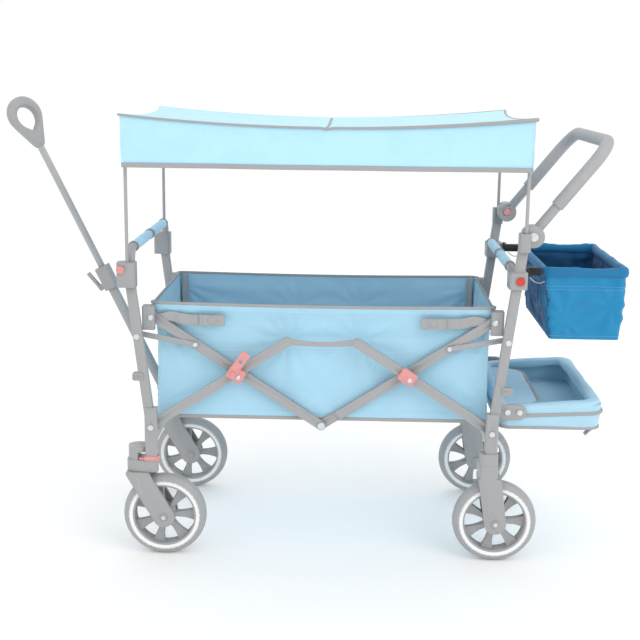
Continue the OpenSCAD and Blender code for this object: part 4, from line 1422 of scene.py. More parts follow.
@dataclass
class Basket:
    """The rear basket: one lofted bag with a padded rolled hem, stitch rows and wire clips.

    Args:
        dresser: puts the pieces on their bodies.
    """

    dresser: Dresser
    body: str = "basket"
    cloth: float = 0.0022
    columns: int = 260
    rows: int = 46
    box: Extent = field(init=False)

    def __post_init__(self) -> None:
        """Read the basket's place from the frame."""
        self.box = Extent.of("basket_bag")

    def shell(self, share: Array, lift: float = 0.0) -> Array:
        """Return the bag's points: a rounded loop that narrows towards the bottom, with sags and folds.

        Args:
            share: shares of the height, 0 at the bottom and 1 at the rim.
            lift: distance pushed outwards.
        Returns:
            A grid with one row for each share.
        """
        v = np.asarray(share, float)[:, None]
        low, high = self.box.low + 0.006, self.box.high - 0.006
        front = low[0] + 0.017 * (1 - v)
        rear = high[0] - 0.007 * (1 - v)
        half_x, mid_x = (rear - front) / 2, (rear + front) / 2
        half_y = high[1] * (1 - 0.012 * (1 - v))
        loop = rounded_loop(1.0, 2.0, 0.16, self.columns)
        loop[:, 1] /= 2
        tangent = unit(np.roll(loop, -1, axis=0) - np.roll(loop, 1, axis=0))
        normal = np.stack([tangent[:, 1], -tangent[:, 0]], axis=-1)
        x, y = loop[None, :, 0] * half_x, loop[None, :, 1] * half_y
        z = self.box.low[2] + 0.002 + v * (self.box.size[2] - 0.010)
        z = np.broadcast_to(z, x.shape)
        along = np.where(np.abs(normal[None, :, 1]) > 0.5, x, y)
        belly = 0.004 * np.sin(np.pi * v) * np.ones_like(x)
        folds = 1.5 * radial_folds(along, z, (0.06, float(low[2]) + 0.075), 7.0, 0.07, 0.7)
        folds = folds + 1.1 * radial_folds(along, z, (-0.05, float(low[2]) + 0.045), 9.0, 0.06, 2.0)
        folds = folds + 1.2 * radial_folds(along, z, (0.11, float(high[2]) - 0.03), 9.0, 0.09, 1.0)
        folds = folds + 1.2 * radial_folds(along, z, (-0.10, float(high[2]) - 0.03), 8.0, 0.08, 4.0)
        calm = smoothstep(v, 0.0, 0.12) * (1 - smoothstep(v, 0.82, 0.96))
        out = belly + (0.0042 * folds + 0.0016 * ripples(along, z, 11, 8, 0.04)) * calm + lift - 0.0045
        rim_wave = 0.0014 * np.sin(along * 30.0 + 0.8) * smoothstep(v, 0.8, 1.0)
        across = y + normal[None, :, 1] * out
        return np.stack([mid_x + x + normal[None, :, 0] * out, across, z - np.abs(rim_wave)], axis=-1)

    def bag(self) -> Piece:
        """Make the walls and the bottom as one sheet."""
        wall = self.shell(np.linspace(0, 1, self.rows))
        centre = wall[0].mean(axis=0)
        shrink = np.linspace(0.0, 1.0, 16)[:, None, None] ** 0.8
        bottom = centre + (wall[0] - centre) * shrink
        bottom[..., 2] += 0.0016 * ripples(
            bottom[..., 0], bottom[..., 1], 17, 6, 0.06
        ) * (1 - shrink[..., 0] ** 6)
        grid = np.concatenate([bottom[:-1], wall])
        piece = sheet_of("basket_shell", grid, wrap=True)
        thickened(piece, self.cloth)
        smooth_by_angle(piece, 62)
        finishes = self.dresser.finishes
        # inside is the darker basket cloth: painted shade on the inner faces and the faces that look
        # forwards.
        outside, inside = finishes.basket, finishes.basket_inside
        self.dresser.dress(piece, self.body, "basket_fabric", outside, inside, replaces=["basket_bag"])
        shade_inner_faces(piece, self.box.middle, facing_forwards=True)
        flat, area = cross_cut(self.box.size)
        return piece

    def hem(self) -> Piece:
        """Make the padded rolled hem: a fat tube round the rim, pinched at the stitches, then swollen."""
        path = self.shell(np.array([1.0]), 0.001)[0]
        along = np.concatenate([[0.0], np.cumsum(np.linalg.norm(np.diff(path, axis=0), axis=1))])
        pinch = 1 - 0.05 * np.abs(np.sin(along * np.pi / 0.027)) ** 6 + 0.03 * np.sin(along * 41)
        piece = tube(
            "basket_hem", path - [0, 0, 0.006], oval(0.015, 0.027, 20, 2.4), closed=True, scale=pinch
        )
        inflated(piece, 0.0042, 3.0, 0.0025)
        subdivided(piece)
        smooth_by_angle(piece, 70)
        self.dresser.dress(piece, self.body, "basket_fabric", self.dresser.finishes.basket_hem)
        return piece

    def stitching(self) -> Piece:
        """Make the two stitch rows under the hem and the one at the bottom."""
        rows = []
        for share in (0.76, 0.715, 0.05):
            path = self.shell(np.array([share]), 0.0006)[0]
            rows.append(stitches(f"basket_row_{share}", path, 0.0036, 0.0007, closed=True))
        piece = joined("basket_stitching", rows)
        return self.dresser.dress(piece, self.body, "basket_fabric", self.dresser.finishes.basket_thread)

    def seams(self) -> Piece:
        """Make the raised seams down the four corners."""
        grid = self.shell(np.linspace(0.02, 0.97, 30), 0.0008)
        turn = np.arctan2(grid[0, :, 1], grid[0, :, 0] - grid[0, :, 0].mean())
        corner = math.atan2(self.box.size[1] / 2, self.box.size[0] / 2)
        parts = []
        for angle in (corner, math.pi - corner, -corner, corner - math.pi):
            column = int(np.argmin(np.abs(turn - angle)))
            parts.append(tube("seam", grid[:, column], circle(0.0022, 8), up=(1.0, 0.3, 0.0)))
        piece = joined("basket_seams", parts)
        smooth_by_angle(piece, 60)
        return self.dresser.dress(piece, self.body, "basket_fabric", self.dresser.finishes.basket)

    def clips(self) -> Piece:
        """Make the two bent wire clips under the arms."""
        arms = Extent.of("basket_frame")
        parts = []
        for side in Side:
            y = side.value * (self.box.high[1] - 0.002)
            x0 = arms.low[0] + 0.012
            t = np.linspace(0, 1, 40)
            x = x0 + 0.034 * t
            z = arms.low[2] - 0.004 - 0.010 * np.sin(t * np.pi * 0.9) - 0.004 * t
            path = np.stack([x, y - side.value * (0.010 - 0.016 * t), z], axis=-1)
            parts.append(tube("clip", path, circle(0.0013, 10), up=(0.0, 1.0, 0.0)))
        piece = joined("basket_wire_clips", parts)
        smooth_by_angle(piece, 60)
        return self.dresser.dress(piece, self.body, "steel", self.dresser.finishes.steel)

    def build(self) -> None:
        """Make every piece of the basket."""
        self.bag()
        self.hem()
        self.stitching()
        self.seams()
        self.clips()


# --------------------------------------------------------------------------- foot well


@dataclass
class FootWell:
    """The cloth tray behind the tub: a padded roll, side walls, a folded flap and a floor.

    Args:
        dresser: puts the pieces on their bodies.
    """

    dresser: Dresser
    body: str = "footwell"
    columns: int = 240
    roll_w: float = 0.034
    box: Extent = field(init=False)

    def __post_init__(self) -> None:
        """Read the tray's place from the frame."""
        self.box = Extent.of("footwell_bag")
        self.mid = self.box.middle

    def ring(self, share: float, lift: float) -> Array:
        """Return a closed loop round the tray at a share of its height, pushed outwards by lift."""
        half_x = self.box.size[0] / 2 - 0.004 - 0.006 * (1 - share) + lift
        half_y = self.box.size[1] / 2 - 0.004 + lift
        loop = rounded_loop(half_x, half_y, 0.030, self.columns)
        z = self.box.low[2] + 0.002 + share * (self.box.size[2] - 0.004)
        slope = 0.010 * (loop[:, 0] / half_x) * share
        return np.stack([loop[:, 0] + self.mid[0], loop[:, 1], z - 0.010 * share + slope], axis=-1)

    def walls(self) -> Piece:
        """Make the walls and the floor as one sheet."""
        shares = np.linspace(0, 0.93, 18)
        rows = []
        for share in shares:
            loop = self.ring(share, 0.0)
            out = loop - self.mid
            sag = 0.003 * math.sin(math.pi * share) + 0.0012 * ripples(
                loop[:, 0] + loop[:, 1], loop[:, 2], 41, 6, 0.05
            )
            loop[:, :2] += unit(out[:, :2]) * sag[:, None]
            rows.append(loop)
        wall = np.stack(rows)
        centre = wall[0].mean(axis=0)
        shrink = np.linspace(0, 1, 14)[:, None, None]
        floor = centre + (wall[0] - centre) * shrink
        floor[..., 2] += 0.0015 * ripples(
            floor[..., 0], floor[..., 1], 43, 6, 0.07
        ) * (1 - shrink[..., 0] ** 6)
        grid = np.concatenate([floor[:-1], wall])
        piece = sheet_of("footwell_tray", grid, wrap=True)
        thickened(piece, 0.0022)
        smooth_by_angle(piece, 60)
        self.dresser.dress(
            piece, self.body, "tub_fabric", self.dresser.finishes.well, replaces=["footwell_bag"]
        )
        flat, area = cross_cut(self.box.size)
        return piece

    def roll(self) -> Piece:
        """Make the padded roll round the rim, swollen by the solver."""
        path = self.ring(0.90, -0.014)
        along = np.linspace(0, 2 * np.pi, len(path), endpoint=False)
        scale = 1 + 0.04 * np.sin(along * 9) + 0.02 * np.sin(along * 23 + 1)
        piece = tube("footwell_roll", path, oval(self.roll_w, 0.024, 20, 2.6), closed=True, scale=scale)
        inflated(piece, 0.005, 3.5, 0.003)
        subdivided(piece)
        smooth_by_angle(piece, 70)
        self.dresser.dress(piece, self.body, "tub_fabric", self.dresser.finishes.well)
        return piece

    def bindings(self) -> Piece:
        """Make the black piping under the roll and round the bottom, and the edge of the flap."""
        upper = tube("piping_up", self.ring(0.66, 0.0035), oval(0.005, 0.008, 10, 2.4), closed=True)
        lower = tube("piping_low", self.ring(0.05, 0.001), oval(0.005, 0.007, 10, 2.4), closed=True)
        flap_edge = tube("piping_flap", self.flap_edge(), oval(0.009, 0.003, 10, 2.6))
        piece = joined("footwell_piping", [upper, lower, flap_edge])
        smooth_by_angle(piece, 50)
        return self.dresser.dress(piece, self.body, "webbing", self.dresser.finishes.binding)

    def flap_edge(self) -> Array:
        """Return the free edge of the flap: out from both sides with rounded corners."""
        half_y = self.box.size[1] / 2 - 0.05
        start, end = self.box.low[0] + 0.012, self.box.low[0] + 0.118
        t = np.linspace(-1, 1, 121)
        x = start + (end - start) * (1 - np.abs(t) ** 9)
        y = half_y * np.sign(t) * np.abs(t) ** 0.75
        z = np.full_like(t, self.box.low[2] + 0.046) - 0.003 * (1 - t**2)
        return np.stack([x, y, z], axis=-1)

    def flap(self) -> Piece:
        """Make the rear flap of the tub, folded down into the tray."""
        edge = self.flap_edge()
        root = edge.copy()
        root[:, 0] = self.box.low[0] + 0.010
        root[:, 2] = self.box.high[2] - 0.030
        v = np.linspace(0, 1, 22)[:, None, None]
        grid = root[None] * (1 - v) + edge[None] * v
        grid[..., 2] += 0.004 * np.sin(np.pi * v[..., 0]) + 0.0012 * ripples(
            grid[..., 0], grid[..., 1], 51, 7, 0.06
        )
        piece = thickened(sheet_of("footwell_flap", grid), 0.002)
        smooth_by_angle(piece, 60)
        self.dresser.dress(piece, self.body, "tub_fabric", self.dresser.finishes.well)
        return piece

    def straps(self) -> Piece:
        """Make the two strap ends that hang a little under the rear of the tray."""
        t = np.linspace(0, 1, 50)
        x = self.box.high[0] - 0.016 - 0.026 * t
        z = self.box.low[2] + 0.003 - 0.018 * t**1.5
        parts = []
        for side in Side:
            path = np.stack([x, np.full_like(t, side.value * 0.212), z], axis=-1)
            end = 1 + 0.25 * smoothstep(t, 0.72, 0.80)
            parts.append(tube("strap", path, oval(0.018, 0.003, 12, 4.0), scale=end))
        piece = smooth_by_angle(joined("footwell_straps", parts), 40)
        return self.dresser.dress(piece, self.body, "webbing", self.dresser.finishes.strap)

    def build(self) -> None:
        """Make every piece of the foot well."""
        self.walls()
        self.roll()
        self.bindings()
        self.flap()
        self.straps()


# --------------------------------------------------------------------------- wheels


@dataclass
class Wheel:
    """One wheel: a foam tyre with grooves, a white trim ring and a black rim with fan-like spokes.

    Args:
        dresser: puts the pieces on their bodies.
        end: front or rear.
        side: left or right.
    """

    dresser: Dresser
    end: str
    side: Side
    spokes: int = 7
    segments: int = 168
    box: Extent = field(init=False)

    def __post_init__(self) -> None:
        """Read the wheel's place from the frame."""
        self.label = f"{self.end}_{self.side.name.lower()}"
        self.body = f"wheel_{self.label}"
        self.box = Extent.of(f"tyre_{self.label}")
        self.middle = self.box.middle
        self.radius = self.box.size[2] / 2
        self.width = self.box.size[1]

    def turned(self, profile: Array, segments: int, depth: Callable[[Array], Array] | None = None) -> Array:
        """Return a closed profile of radius and distance along the axle, turned round the axle.

        Args:
            profile: radius and distance, round a closed outline.
            segments: steps round the axle.
            depth: change of the radius for each angle, one column for each profile point.
        Returns:
            A grid with one row for each step.
        """
        turn = np.linspace(0, 2 * np.pi, segments, endpoint=False)
        radius = np.broadcast_to(profile[:, 0], (segments, len(profile)))
        if depth is not None:
            radius = radius - depth(turn)
        x = self.middle[0] + radius * np.cos(turn)[:, None]
        z = self.middle[2] + radius * np.sin(turn)[:, None]
        y = np.broadcast_to(self.middle[1] + profile[:, 1], x.shape)
        return np.stack([x, y, z], axis=-1)

    def ring(self, name: str, profile: Array, segments: int, depth: Callable | None = None) -> Piece:
        """Make a closed ring from a closed profile."""
        grid = self.turned(profile, segments, depth)
        piece = put(name, grid, grid_faces(segments, len(profile), True, True))
        weld(piece)
        return piece

    def tyre(self) -> Piece:
        """Make the tyre: a rounded tread with two grooves round it and shallow cuts across the shoulders."""
        half = self.width / 2 - 0.0006
        outer, inner = self.radius, self.radius * 0.735
        t = np.linspace(-1, 1, 45)
        crown = outer - 0.016 * np.abs(t) ** 3.2
        groove = 0.0022 * (np.exp(-(((np.abs(t) - 0.28) / 0.05) ** 2)))
        tread = np.stack([crown - groove, t * half], axis=-1)
        wall_r = np.linspace(tread[-1, 0], inner, 9)[1:]
        bulge = half - 0.003 * ((outer - wall_r) / (outer - inner)) ** 2
        right = np.stack([wall_r, bulge], axis=-1)
        left = np.stack([wall_r, -bulge], axis=-1)[::-1]
        profile = np.concatenate([tread, right, left])
        shoulder = np.concatenate(
            [np.exp(-(((np.abs(t) - 0.78) / 0.13) ** 2)), np.zeros(len(profile) - len(t))]
        )

        def cuts(turn: Array) -> Array:
            """Return the depth of the cuts across the shoulders."""
            return 0.0011 * np.clip(np.sin(turn * 42)[:, None] * 3, 0, 1) * shoulder[None, :]

        piece = self.ring(f"tyre_{self.label}_tread", profile, self.segments * 2, cuts)
        smooth_by_angle(piece, 45)
        return self.dresser.dress(
            piece, self.body, "tyre", self.dresser.finishes.tyre, replaces=[f"tyre_{self.label}"]
        )

    def trim(self) -> Piece:
        """Make the white trim rings on both faces, just inside the tyre."""
        rings = []
        outer, inner = self.radius * 0.865, self.radius * 0.762
        for face in (-1, 1):
            at = face * (self.width / 2 - 0.0012)
            back = face * (self.width / 2 - 0.012)
            middle = (outer + inner) / 2
            profile = np.array([
                [inner, back], [inner, at - face * 0.001], [inner + 0.001, at], [middle, at + face * 0.0014],
                [outer - 0.001, at], [outer, at - face * 0.001], [outer, back],
            ])
            rings.append(self.ring("trim", profile, self.segments))
        piece = smooth_by_angle(joined(f"rim_{self.label}_trim", rings), 35)
        return self.dresser.dress(piece, self.body, "rim", self.dresser.finishes.trim)

    def barrel(self) -> Piece:
        """Make the rim's barrel with rolled lips, and the stepped hub."""
        half = self.width / 2 - 0.004
        outer = self.radius * 0.785
        barrel = np.array([
            [outer, -half], [outer, half], [outer - 0.003, half + 0.0014], [outer - 0.0065, half],
            [outer - 0.0065, half - 0.004], [outer - 0.0042, half - 0.007], [outer - 0.0042, -half + 0.007],
            [outer - 0.0065, -half + 0.004], [outer - 0.0065, -half], [outer - 0.003, -half - 0.0014],
        ])
        hub = np.array([
            [0.0062, -half], [0.013, -half], [
                0.0145, -half + 0.0015
            ], [0.0145, -half + 0.006], [0.024, -half + 0.009],
            [0.026, -half + 0.012], [0.026, half - 0.012], [0.024, half - 0.009], [0.0145, half - 0.006],
            [0.0145, half - 0.0015], [0.013, half], [0.0062, half],
        ])
        parts = [self.ring("barrel", barrel, self.segments), self.ring("hub", hub, 72)]
        parts.extend(self.spoke(step) for step in range(self.spokes))
        piece = smooth_by_angle(joined(f"rim_{self.label}_spokes", parts), 32)
        return self.dresser.dress(
            piece, self.body, "rim", self.dresser.finishes.rim, replaces=[f"rim_{self.label}"]
        )

    def spoke(self, step: int) -> Piece:
        """Make one spoke: narrow at the hub, broad and forked like a fan at the barrel, dished in the middle.

        For each share from hub to barrel the width grows with its square, and the section is a flat oval.
        """
        start, end = 0.022, self.radius * 0.785 - 0.003
        t = np.linspace(0, 1, 15)
        radius = start + (end - start) * t
        angle = step * 2 * np.pi / self.spokes
        thickness = 0.013 - 0.004 * np.sin(np.pi * t)
        width = 0.014 + 0.020 * t**2.2
        sides = 20
        turn = np.linspace(0, 2 * np.pi, sides, endpoint=False)
        cosine, sine = np.cos(turn), np.sin(turn)
        across = np.sign(cosine) * np.abs(cosine) ** 0.5 * width[:, None] / 2
        dish = 1 - 0.45 * np.exp(-((cosine / 0.5) ** 2)) * smoothstep(t, 0.15, 0.6)[:, None]
        along = np.sign(sine) * np.abs(sine) ** 0.5 * thickness[:, None] * dish
        forward = np.sqrt(np.maximum(radius[:, None] ** 2 - (across * 0.6) ** 2, 0))
        x = self.middle[0] + forward * math.cos(angle) - across * math.sin(angle)
        z = self.middle[2] + forward * math.sin(angle) + across * math.cos(angle)
        y = self.middle[1] + along
        grid = np.stack([x, y, z], axis=-1)
        faces = grid_faces(len(t), sides, False, True).tolist()
        faces.append(list(range(sides)))
        faces.append(list(range((len(t) - 1) * sides, len(t) * sides)))
        piece = put("spoke", grid, faces)
        weld(piece)
        return piece

    def cap(self) -> Piece:
        """Make the six-sided bolt head on the axle's outer end, which rides with the fork."""
        body = f"caster_{self.side.name.lower()}" if self.end == "front" else "rear_frame"
        node = f"caster_fork_{self.side.name.lower()}" if self.end == "front" else "rear_forks"
        reach = Extent.of(node)
        outer_y = reach.high[1] if self.side is Side.RIGHT else reach.low[1]
        place = on_side_wall(
            self.middle[0], outer_y - self.side.value * 0.0015, self.middle[2], 1.0, self.side.value
        )
        head = plate(f"axle_{self.label}_bolt", circle(0.0056, 6), place, 0.0, 0.0042, 0.0010)
        piece = smooth_by_angle(head, 30)
        return self.dresser.dress(piece, body, "steel", self.dresser.finishes.steel)

    def build(self) -> None:
        """Make every piece of the wheel."""
        self.tyre()
        self.trim()
        self.barrel()
        self.cap()


# --------------------------------------------------------------------------- frame and handles


@dataclass
class GrabSleeve:
    """The blue padded sleeve on a grab bar: two stuffed halves with a band between them.

    Args:
        dresser: puts the pieces on their bodies.
        node: the sleeve's node.
        label: front or rear.
    """

    dresser: Dresser
    node: str
    label: str

    def build(self) -> None:
        """Make the two stuffed halves and their end bindings."""
        box = Extent.of(self.node)
        body = self.dresser.body_of_node[self.node]
        radius = box.size[2] / 2 - 0.0006
        middle = box.middle
        half = box.size[1] / 2
        t = np.linspace(0, 1, 60)
        halves, ends = [], []
        for side in Side:
            y = side.value * (0.007 + t * (half - 0.007))
            path = np.stack([np.full_like(t, middle[0]), y, np.full_like(t, middle[2])], axis=-1)
            pillow = 0.80 + 0.2 * np.sin(np.pi * np.clip(t, 0.02, 0.98)) ** 0.25
            crease = 1 - 0.035 * np.abs(np.sin(t * 37)) ** 5
            halves.append(tube("half", path, circle(radius - 0.001, 24), (1, 0, 0), scale=pillow * crease))
            for at in (0.0, 1.0):
                end = side.value * (0.007 + at * (half - 0.007))
                turn = np.linspace(0, 2 * np.pi, 40, endpoint=False)
                ring = np.stack([
                    middle[0] + radius * 0.84 * np.cos(turn), np.full_like(
                        turn, end
                    ), middle[2] + radius * 0.84 * np.sin(turn),
                ], axis=-1)
                ends.append(tube("end", ring, circle(0.0018, 8), (0, 1, 0), closed=True))
        pad = joined(f"{self.label}_sleeve_pads", halves)
        inflated(pad, 0.0036, 3.0, 0.0012, 12)
        subdivided(pad)
        smooth_by_angle(pad, 70)
        finishes = self.dresser.finishes
        self.dresser.dress(pad, body, "sleeve", finishes.sleeve, replaces=[self.node])
        trim = smooth_by_angle(joined(f"{self.label}_sleeve_bindings", ends), 60)
        self.dresser.dress(trim, body, "webbing", finishes.binding)


@dataclass
class PullGrip:
    """The loop grip of the pull handle: a teardrop ring with a soft rounded section.

    Args:
        dresser: puts the pieces on their bodies.
        slide_r: radius of the sliding tube.
        tube_to_loop: distance from the end of the sliding tube to the middle of the loop.
        turn: turn of the loop round the tube, in radians.
        half_width: half the thickness of the grip.
    """

    dresser: Dresser
    slide_r: float = 0.0085
    tube_to_loop: float = 0.057
    turn: float = math.radians(50)
    half_width: float = 0.013
    eye: float = -0.010

    def teardrop(self, big: float, small: float, distance: float, drop: float, angles: Array) -> Array:
        """Return how far a teardrop's outline is from the eye at each angle.

        The outline is two arcs, of radius big above and radius small below, joined by their tangents.
        The distances between its points are found by their angle round the eye.
        """
        lean = math.asin((big - small) / distance)
        upper = np.linspace(-lean, np.pi + lean, 120)
        lower = np.linspace(np.pi + lean, 2 * np.pi - lean, 60)
        points = np.concatenate([
            big * np.stack([np.cos(upper), np.sin(upper)], axis=-1),
            small * np.stack([np.cos(lower), np.sin(lower)], axis=-1) - [0.0, distance],
        ])
        closed = np.concatenate([points, points[:1]])
        share = np.linspace(0, 1, 12, endpoint=False)[None, :, None]
        dense = (
            closed[:-1, None] * (1 - share) + closed[1:, None] * share
        ).reshape(-1, 2) - [0.0, drop + self.eye]
        angle = np.arctan2(dense[:, 1], dense[:, 0])
        order = np.argsort(angle)
        return np.interp(angles, angle[order], np.hypot(dense[:, 0], dense[:, 1])[order], period=2 * np.pi)

    def build(self) -> None:
        """Make the ring: at each angle round the eye, a superellipse between the hole and the outline."""
        joints = {joint["name"]: joint for joint in self.dresser.frame["joints"]}
        up = np.array(joints["pull_slide"]["axis"], float)
        side = np.array([up[2], 0.0, -up[0]])
        ahead = np.array([0.0, 1.0, 0.0])
        start = np.array(joints["pull_pivot"]["pos_m"], float)
        tube_top = Extent.of("pull_inner_tube").high[2] - start[2] - self.slide_r * abs(up[0])
        middle = start + up * (tube_top / up[2] + self.tube_to_loop + self.eye)
        across = math.cos(self.turn) * side + math.sin(self.turn) * ahead
        through = math.cos(self.turn) * ahead - math.sin(self.turn) * side
        angles = np.linspace(-np.pi, np.pi, 264, endpoint=False)
        outer = self.teardrop(0.045, 0.014, 0.075, 0.0, angles)
        inner = self.teardrop(0.028, 0.009, 0.024, 0.009, angles)
        section = oval(1.0, 1.0, 36, 3.0)
        reach = (outer + inner)[:, None] / 2 + (outer - inner)[:, None] * section[None, :, 0]
        depth = 2 * self.half_width * np.broadcast_to(section[None, :, 1], reach.shape)
        spin = np.cos(angles)[:, None, None] * across + np.sin(angles)[:, None, None] * up
        grid = middle + reach[..., None] * spin + depth[..., None] * through
        piece = put("pull_grip_loop", grid, grid_faces(264, 36, True, True))
        weld(piece)
        smooth_by_angle(piece, 60)
        self.dresser.dress(
            piece, "pull_upper", "black_plastic", self.dresser.finishes.plastic, replaces=["pull_grip"]
        )


def coil(name: str, foot: Array, top: Array, radius: float, wire: float, turns: float) -> Piece:
    """Make a coil spring between two points: a helix round the line that joins them."""
    t = np.linspace(0, 1, int(turns * 18))
    axis = unit((top - foot)[None])[0]
    side = unit(np.cross(axis, [0.0, 1.0, 0.0])[None])[0]
    other = np.cross(axis, side)
    angle = t * turns * 2 * np.pi
    line = foot + t[:, None] * (top - foot)
    path = line + radius * (np.cos(angle)[:, None] * side + np.sin(angle)[:, None] * other)
    return tube(name, path, circle(wire, 8), up=tuple(axis))


@dataclass
class Chassis:
    """The hard parts: every tube, bracket, fork, bar and button with rounded edges, and small fittings.

    Args:
        dresser: puts the pieces on their bodies.
    """

    dresser: Dresser

    def rounded(self) -> None:
        """Stand rounded copies in for the hard nodes."""
        finishes = self.dresser.finishes
        plan: dict[Finish, tuple[float, list[str]]] = {
            finishes.frame: (0.0015, [
                "front_posts", "front_legs", "front_grab_bar",
                "rear_posts", "rear_legs", "rear_grab_bar", "rear_forks",
                "caster_fork_left", "caster_fork_right", "push_handle_tube", "pull_outer_tube",
            ]),
            finishes.bar: (
                0.0012, ["front_lower_bars", "front_upper_bars", "rear_upper_bars", "rear_lower_bars"]
            ),
            finishes.slide: (0.0006, ["pull_inner_tube"]),
            finishes.rod: (0.0006, ["canopy_front_rods", "canopy_rear_rods"]),
            finishes.plastic: (0.0020, [
                "front_brackets", "rear_brackets", "front_corner_blocks", "rear_corner_blocks",
                "clamp_collar", "clamp_lever",
            ]),
            finishes.dark_plastic: (0.0015, ["basket_frame"]),
            finishes.red: (0.0018, [
                "front_button_left", "front_button_right", "push_button_left", "push_button_right",
                "swivel_lock_left",
                "swivel_lock_right", "cross_lock_covers", "cross_covers", "cross_lock_lever",
            ]),
            finishes.bright_red: (0.0015, ["rear_button_left", "rear_button_right"]),
            finishes.steel: (0.0006, ["front_rivets", "rear_rivets", "front_pivot_pins", "rear_pivot_pins"]),
            finishes.grip: (0.0010, ["push_handle_grip"]),
        }
        for material, (width, nodes) in plan.items():
            for node in nodes:
                self.dresser.refine(node, material, width)
        for node in ("front_links", "rear_links"):
            self.dresser.refine(node, finishes.bar, 0.0007)

    def springs(self) -> None:
        """Make the suspension springs beside the forks."""
        finishes = self.dresser.finishes
        for end, label, body in (
            ("caster_fork_left", "front_left", "caster_left"), (
                "caster_fork_right", "front_right", "caster_right"
            ),
        ):
            box = Extent.of(end)
            tyre = Extent.of(f"tyre_{label}")
            sign = -1 if label.endswith("left") else 1
            y = tyre.middle[1] + sign * (tyre.size[1] / 2 + 0.0055)
            foot = np.array([box.low[0] + 0.036, y, box.high[2] - 0.075])
            top = np.array([box.low[0] + 0.026, y, box.high[2] - 0.034])
            piece = smooth_by_angle(coil(f"spring_{label}", foot, top, 0.0042, 0.0011, 7), 60)
            self.dresser.dress(piece, body, "steel", finishes.spring)

    def rivets(self) -> None:
        """Make the domed rivet heads at the links' pivots, the corner blocks and the covers."""
        finishes = self.dresser.finishes
        for end, body, link in (
            ("front", "front_upper", "front_links"), ("rear", "rear_upper", "rear_links")
        ):
            bars = Extent.of(f"{end}_upper_bars")
            links = Extent.of(link)
            x = links.high[0] - 0.0065 if end == "front" else links.low[0] + 0.0065
            z = links.low[2] + 0.0065
            parts = []
            for side in Side:
                y = side.value * bars.high[1]
                place = on_side_wall(x, y, z, 1.0, side.value)
                parts.append(plate("rivet", circle(0.0062, 20), place, 0.0, 0.0068, 0.0016))
            piece = smooth_by_angle(joined(f"{end}_link_rivets", parts), 40)
            self.dresser.dress(piece, body, "steel", finishes.steel)
        joints = {joint["name"]: joint for joint in self.dresser.frame["joints"]}
        for node, body, joint in (
            ("front_corner_blocks", "tub", "tub_corner_turn"), (
                "rear_corner_blocks", "rear_corner", "rear_corner_turn"
            ),
        ):
            pivot = joints[joint]["pos_m"]
            face = Extent.of(node).high[1]
            parts = []
            for side in Side:
                place = on_side_wall(pivot[0], side.value * face, pivot[2], 1.0, side.value)
                parts.append(plate("rivet", circle(0.0068, 24), place, -0.001, 0.0026, 0.0016))
            piece = smooth_by_angle(joined(f"{node}_rivets", parts), 40)
            self.dresser.dress(piece, body, "steel", finishes.steel)
        for node, body in (("cross_lock_covers", "front_lower"), ("cross_covers", "rear_lower")):
            box = Extent.of(node)
            parts = []
            for side in Side:
                y = side.value * box.high[1]
                place = on_side_wall(box.middle[0] + 0.005, y, box.middle[2] - 0.007, 1.0, side.value)
                parts.append(plate("rivet", circle(0.0055, 20), place, -0.001, 0.0024, 0.0014))
            piece = smooth_by_angle(joined(f"{node}_rivets", parts), 40)
            self.dresser.dress(piece, body, "steel", finishes.steel)

    def catches(self) -> None:
        """Make the small black catch blocks that clip over the posts, with a rib across each."""
        joints = {joint["name"]: joint for joint in self.dresser.frame["joints"]}
        plan = (("front", "fold", -0.028, 0.124, "front_frame", "front_posts"),
                ("rear", "rear_foot_turn", 0.031, 0.104, "rear_frame", "rear_posts"))
        for end, joint, dx, dz, body, node in plan:
            pivot = joints[joint]["pos_m"]
            face = Extent.of(node).high[1]
            parts = []
            for side in Side:
                place = on_side_wall(pivot[0] + dx, side.value * face, pivot[2] + dz, 1.0, side.value)
                parts.append(plate("block", oval(0.026, 0.019, 40, 6.0), place, -0.014, 0.0035, 0.0014))
                parts.append(plate("rib", oval(0.020, 0.004, 24, 4.0), place, 0.002, 0.0055, 0.0008))
            piece = smooth_by_angle(joined(f"{end}_catches", parts), 40)
            self.dresser.dress(piece, body, "black_plastic", self.dresser.finishes.plastic)

    def build(self) -> None:
        """Make every hard piece."""
        self.rounded()
        self.springs()
        self.rivets()
        self.catches()


# --------------------------------------------------------------------------- studio


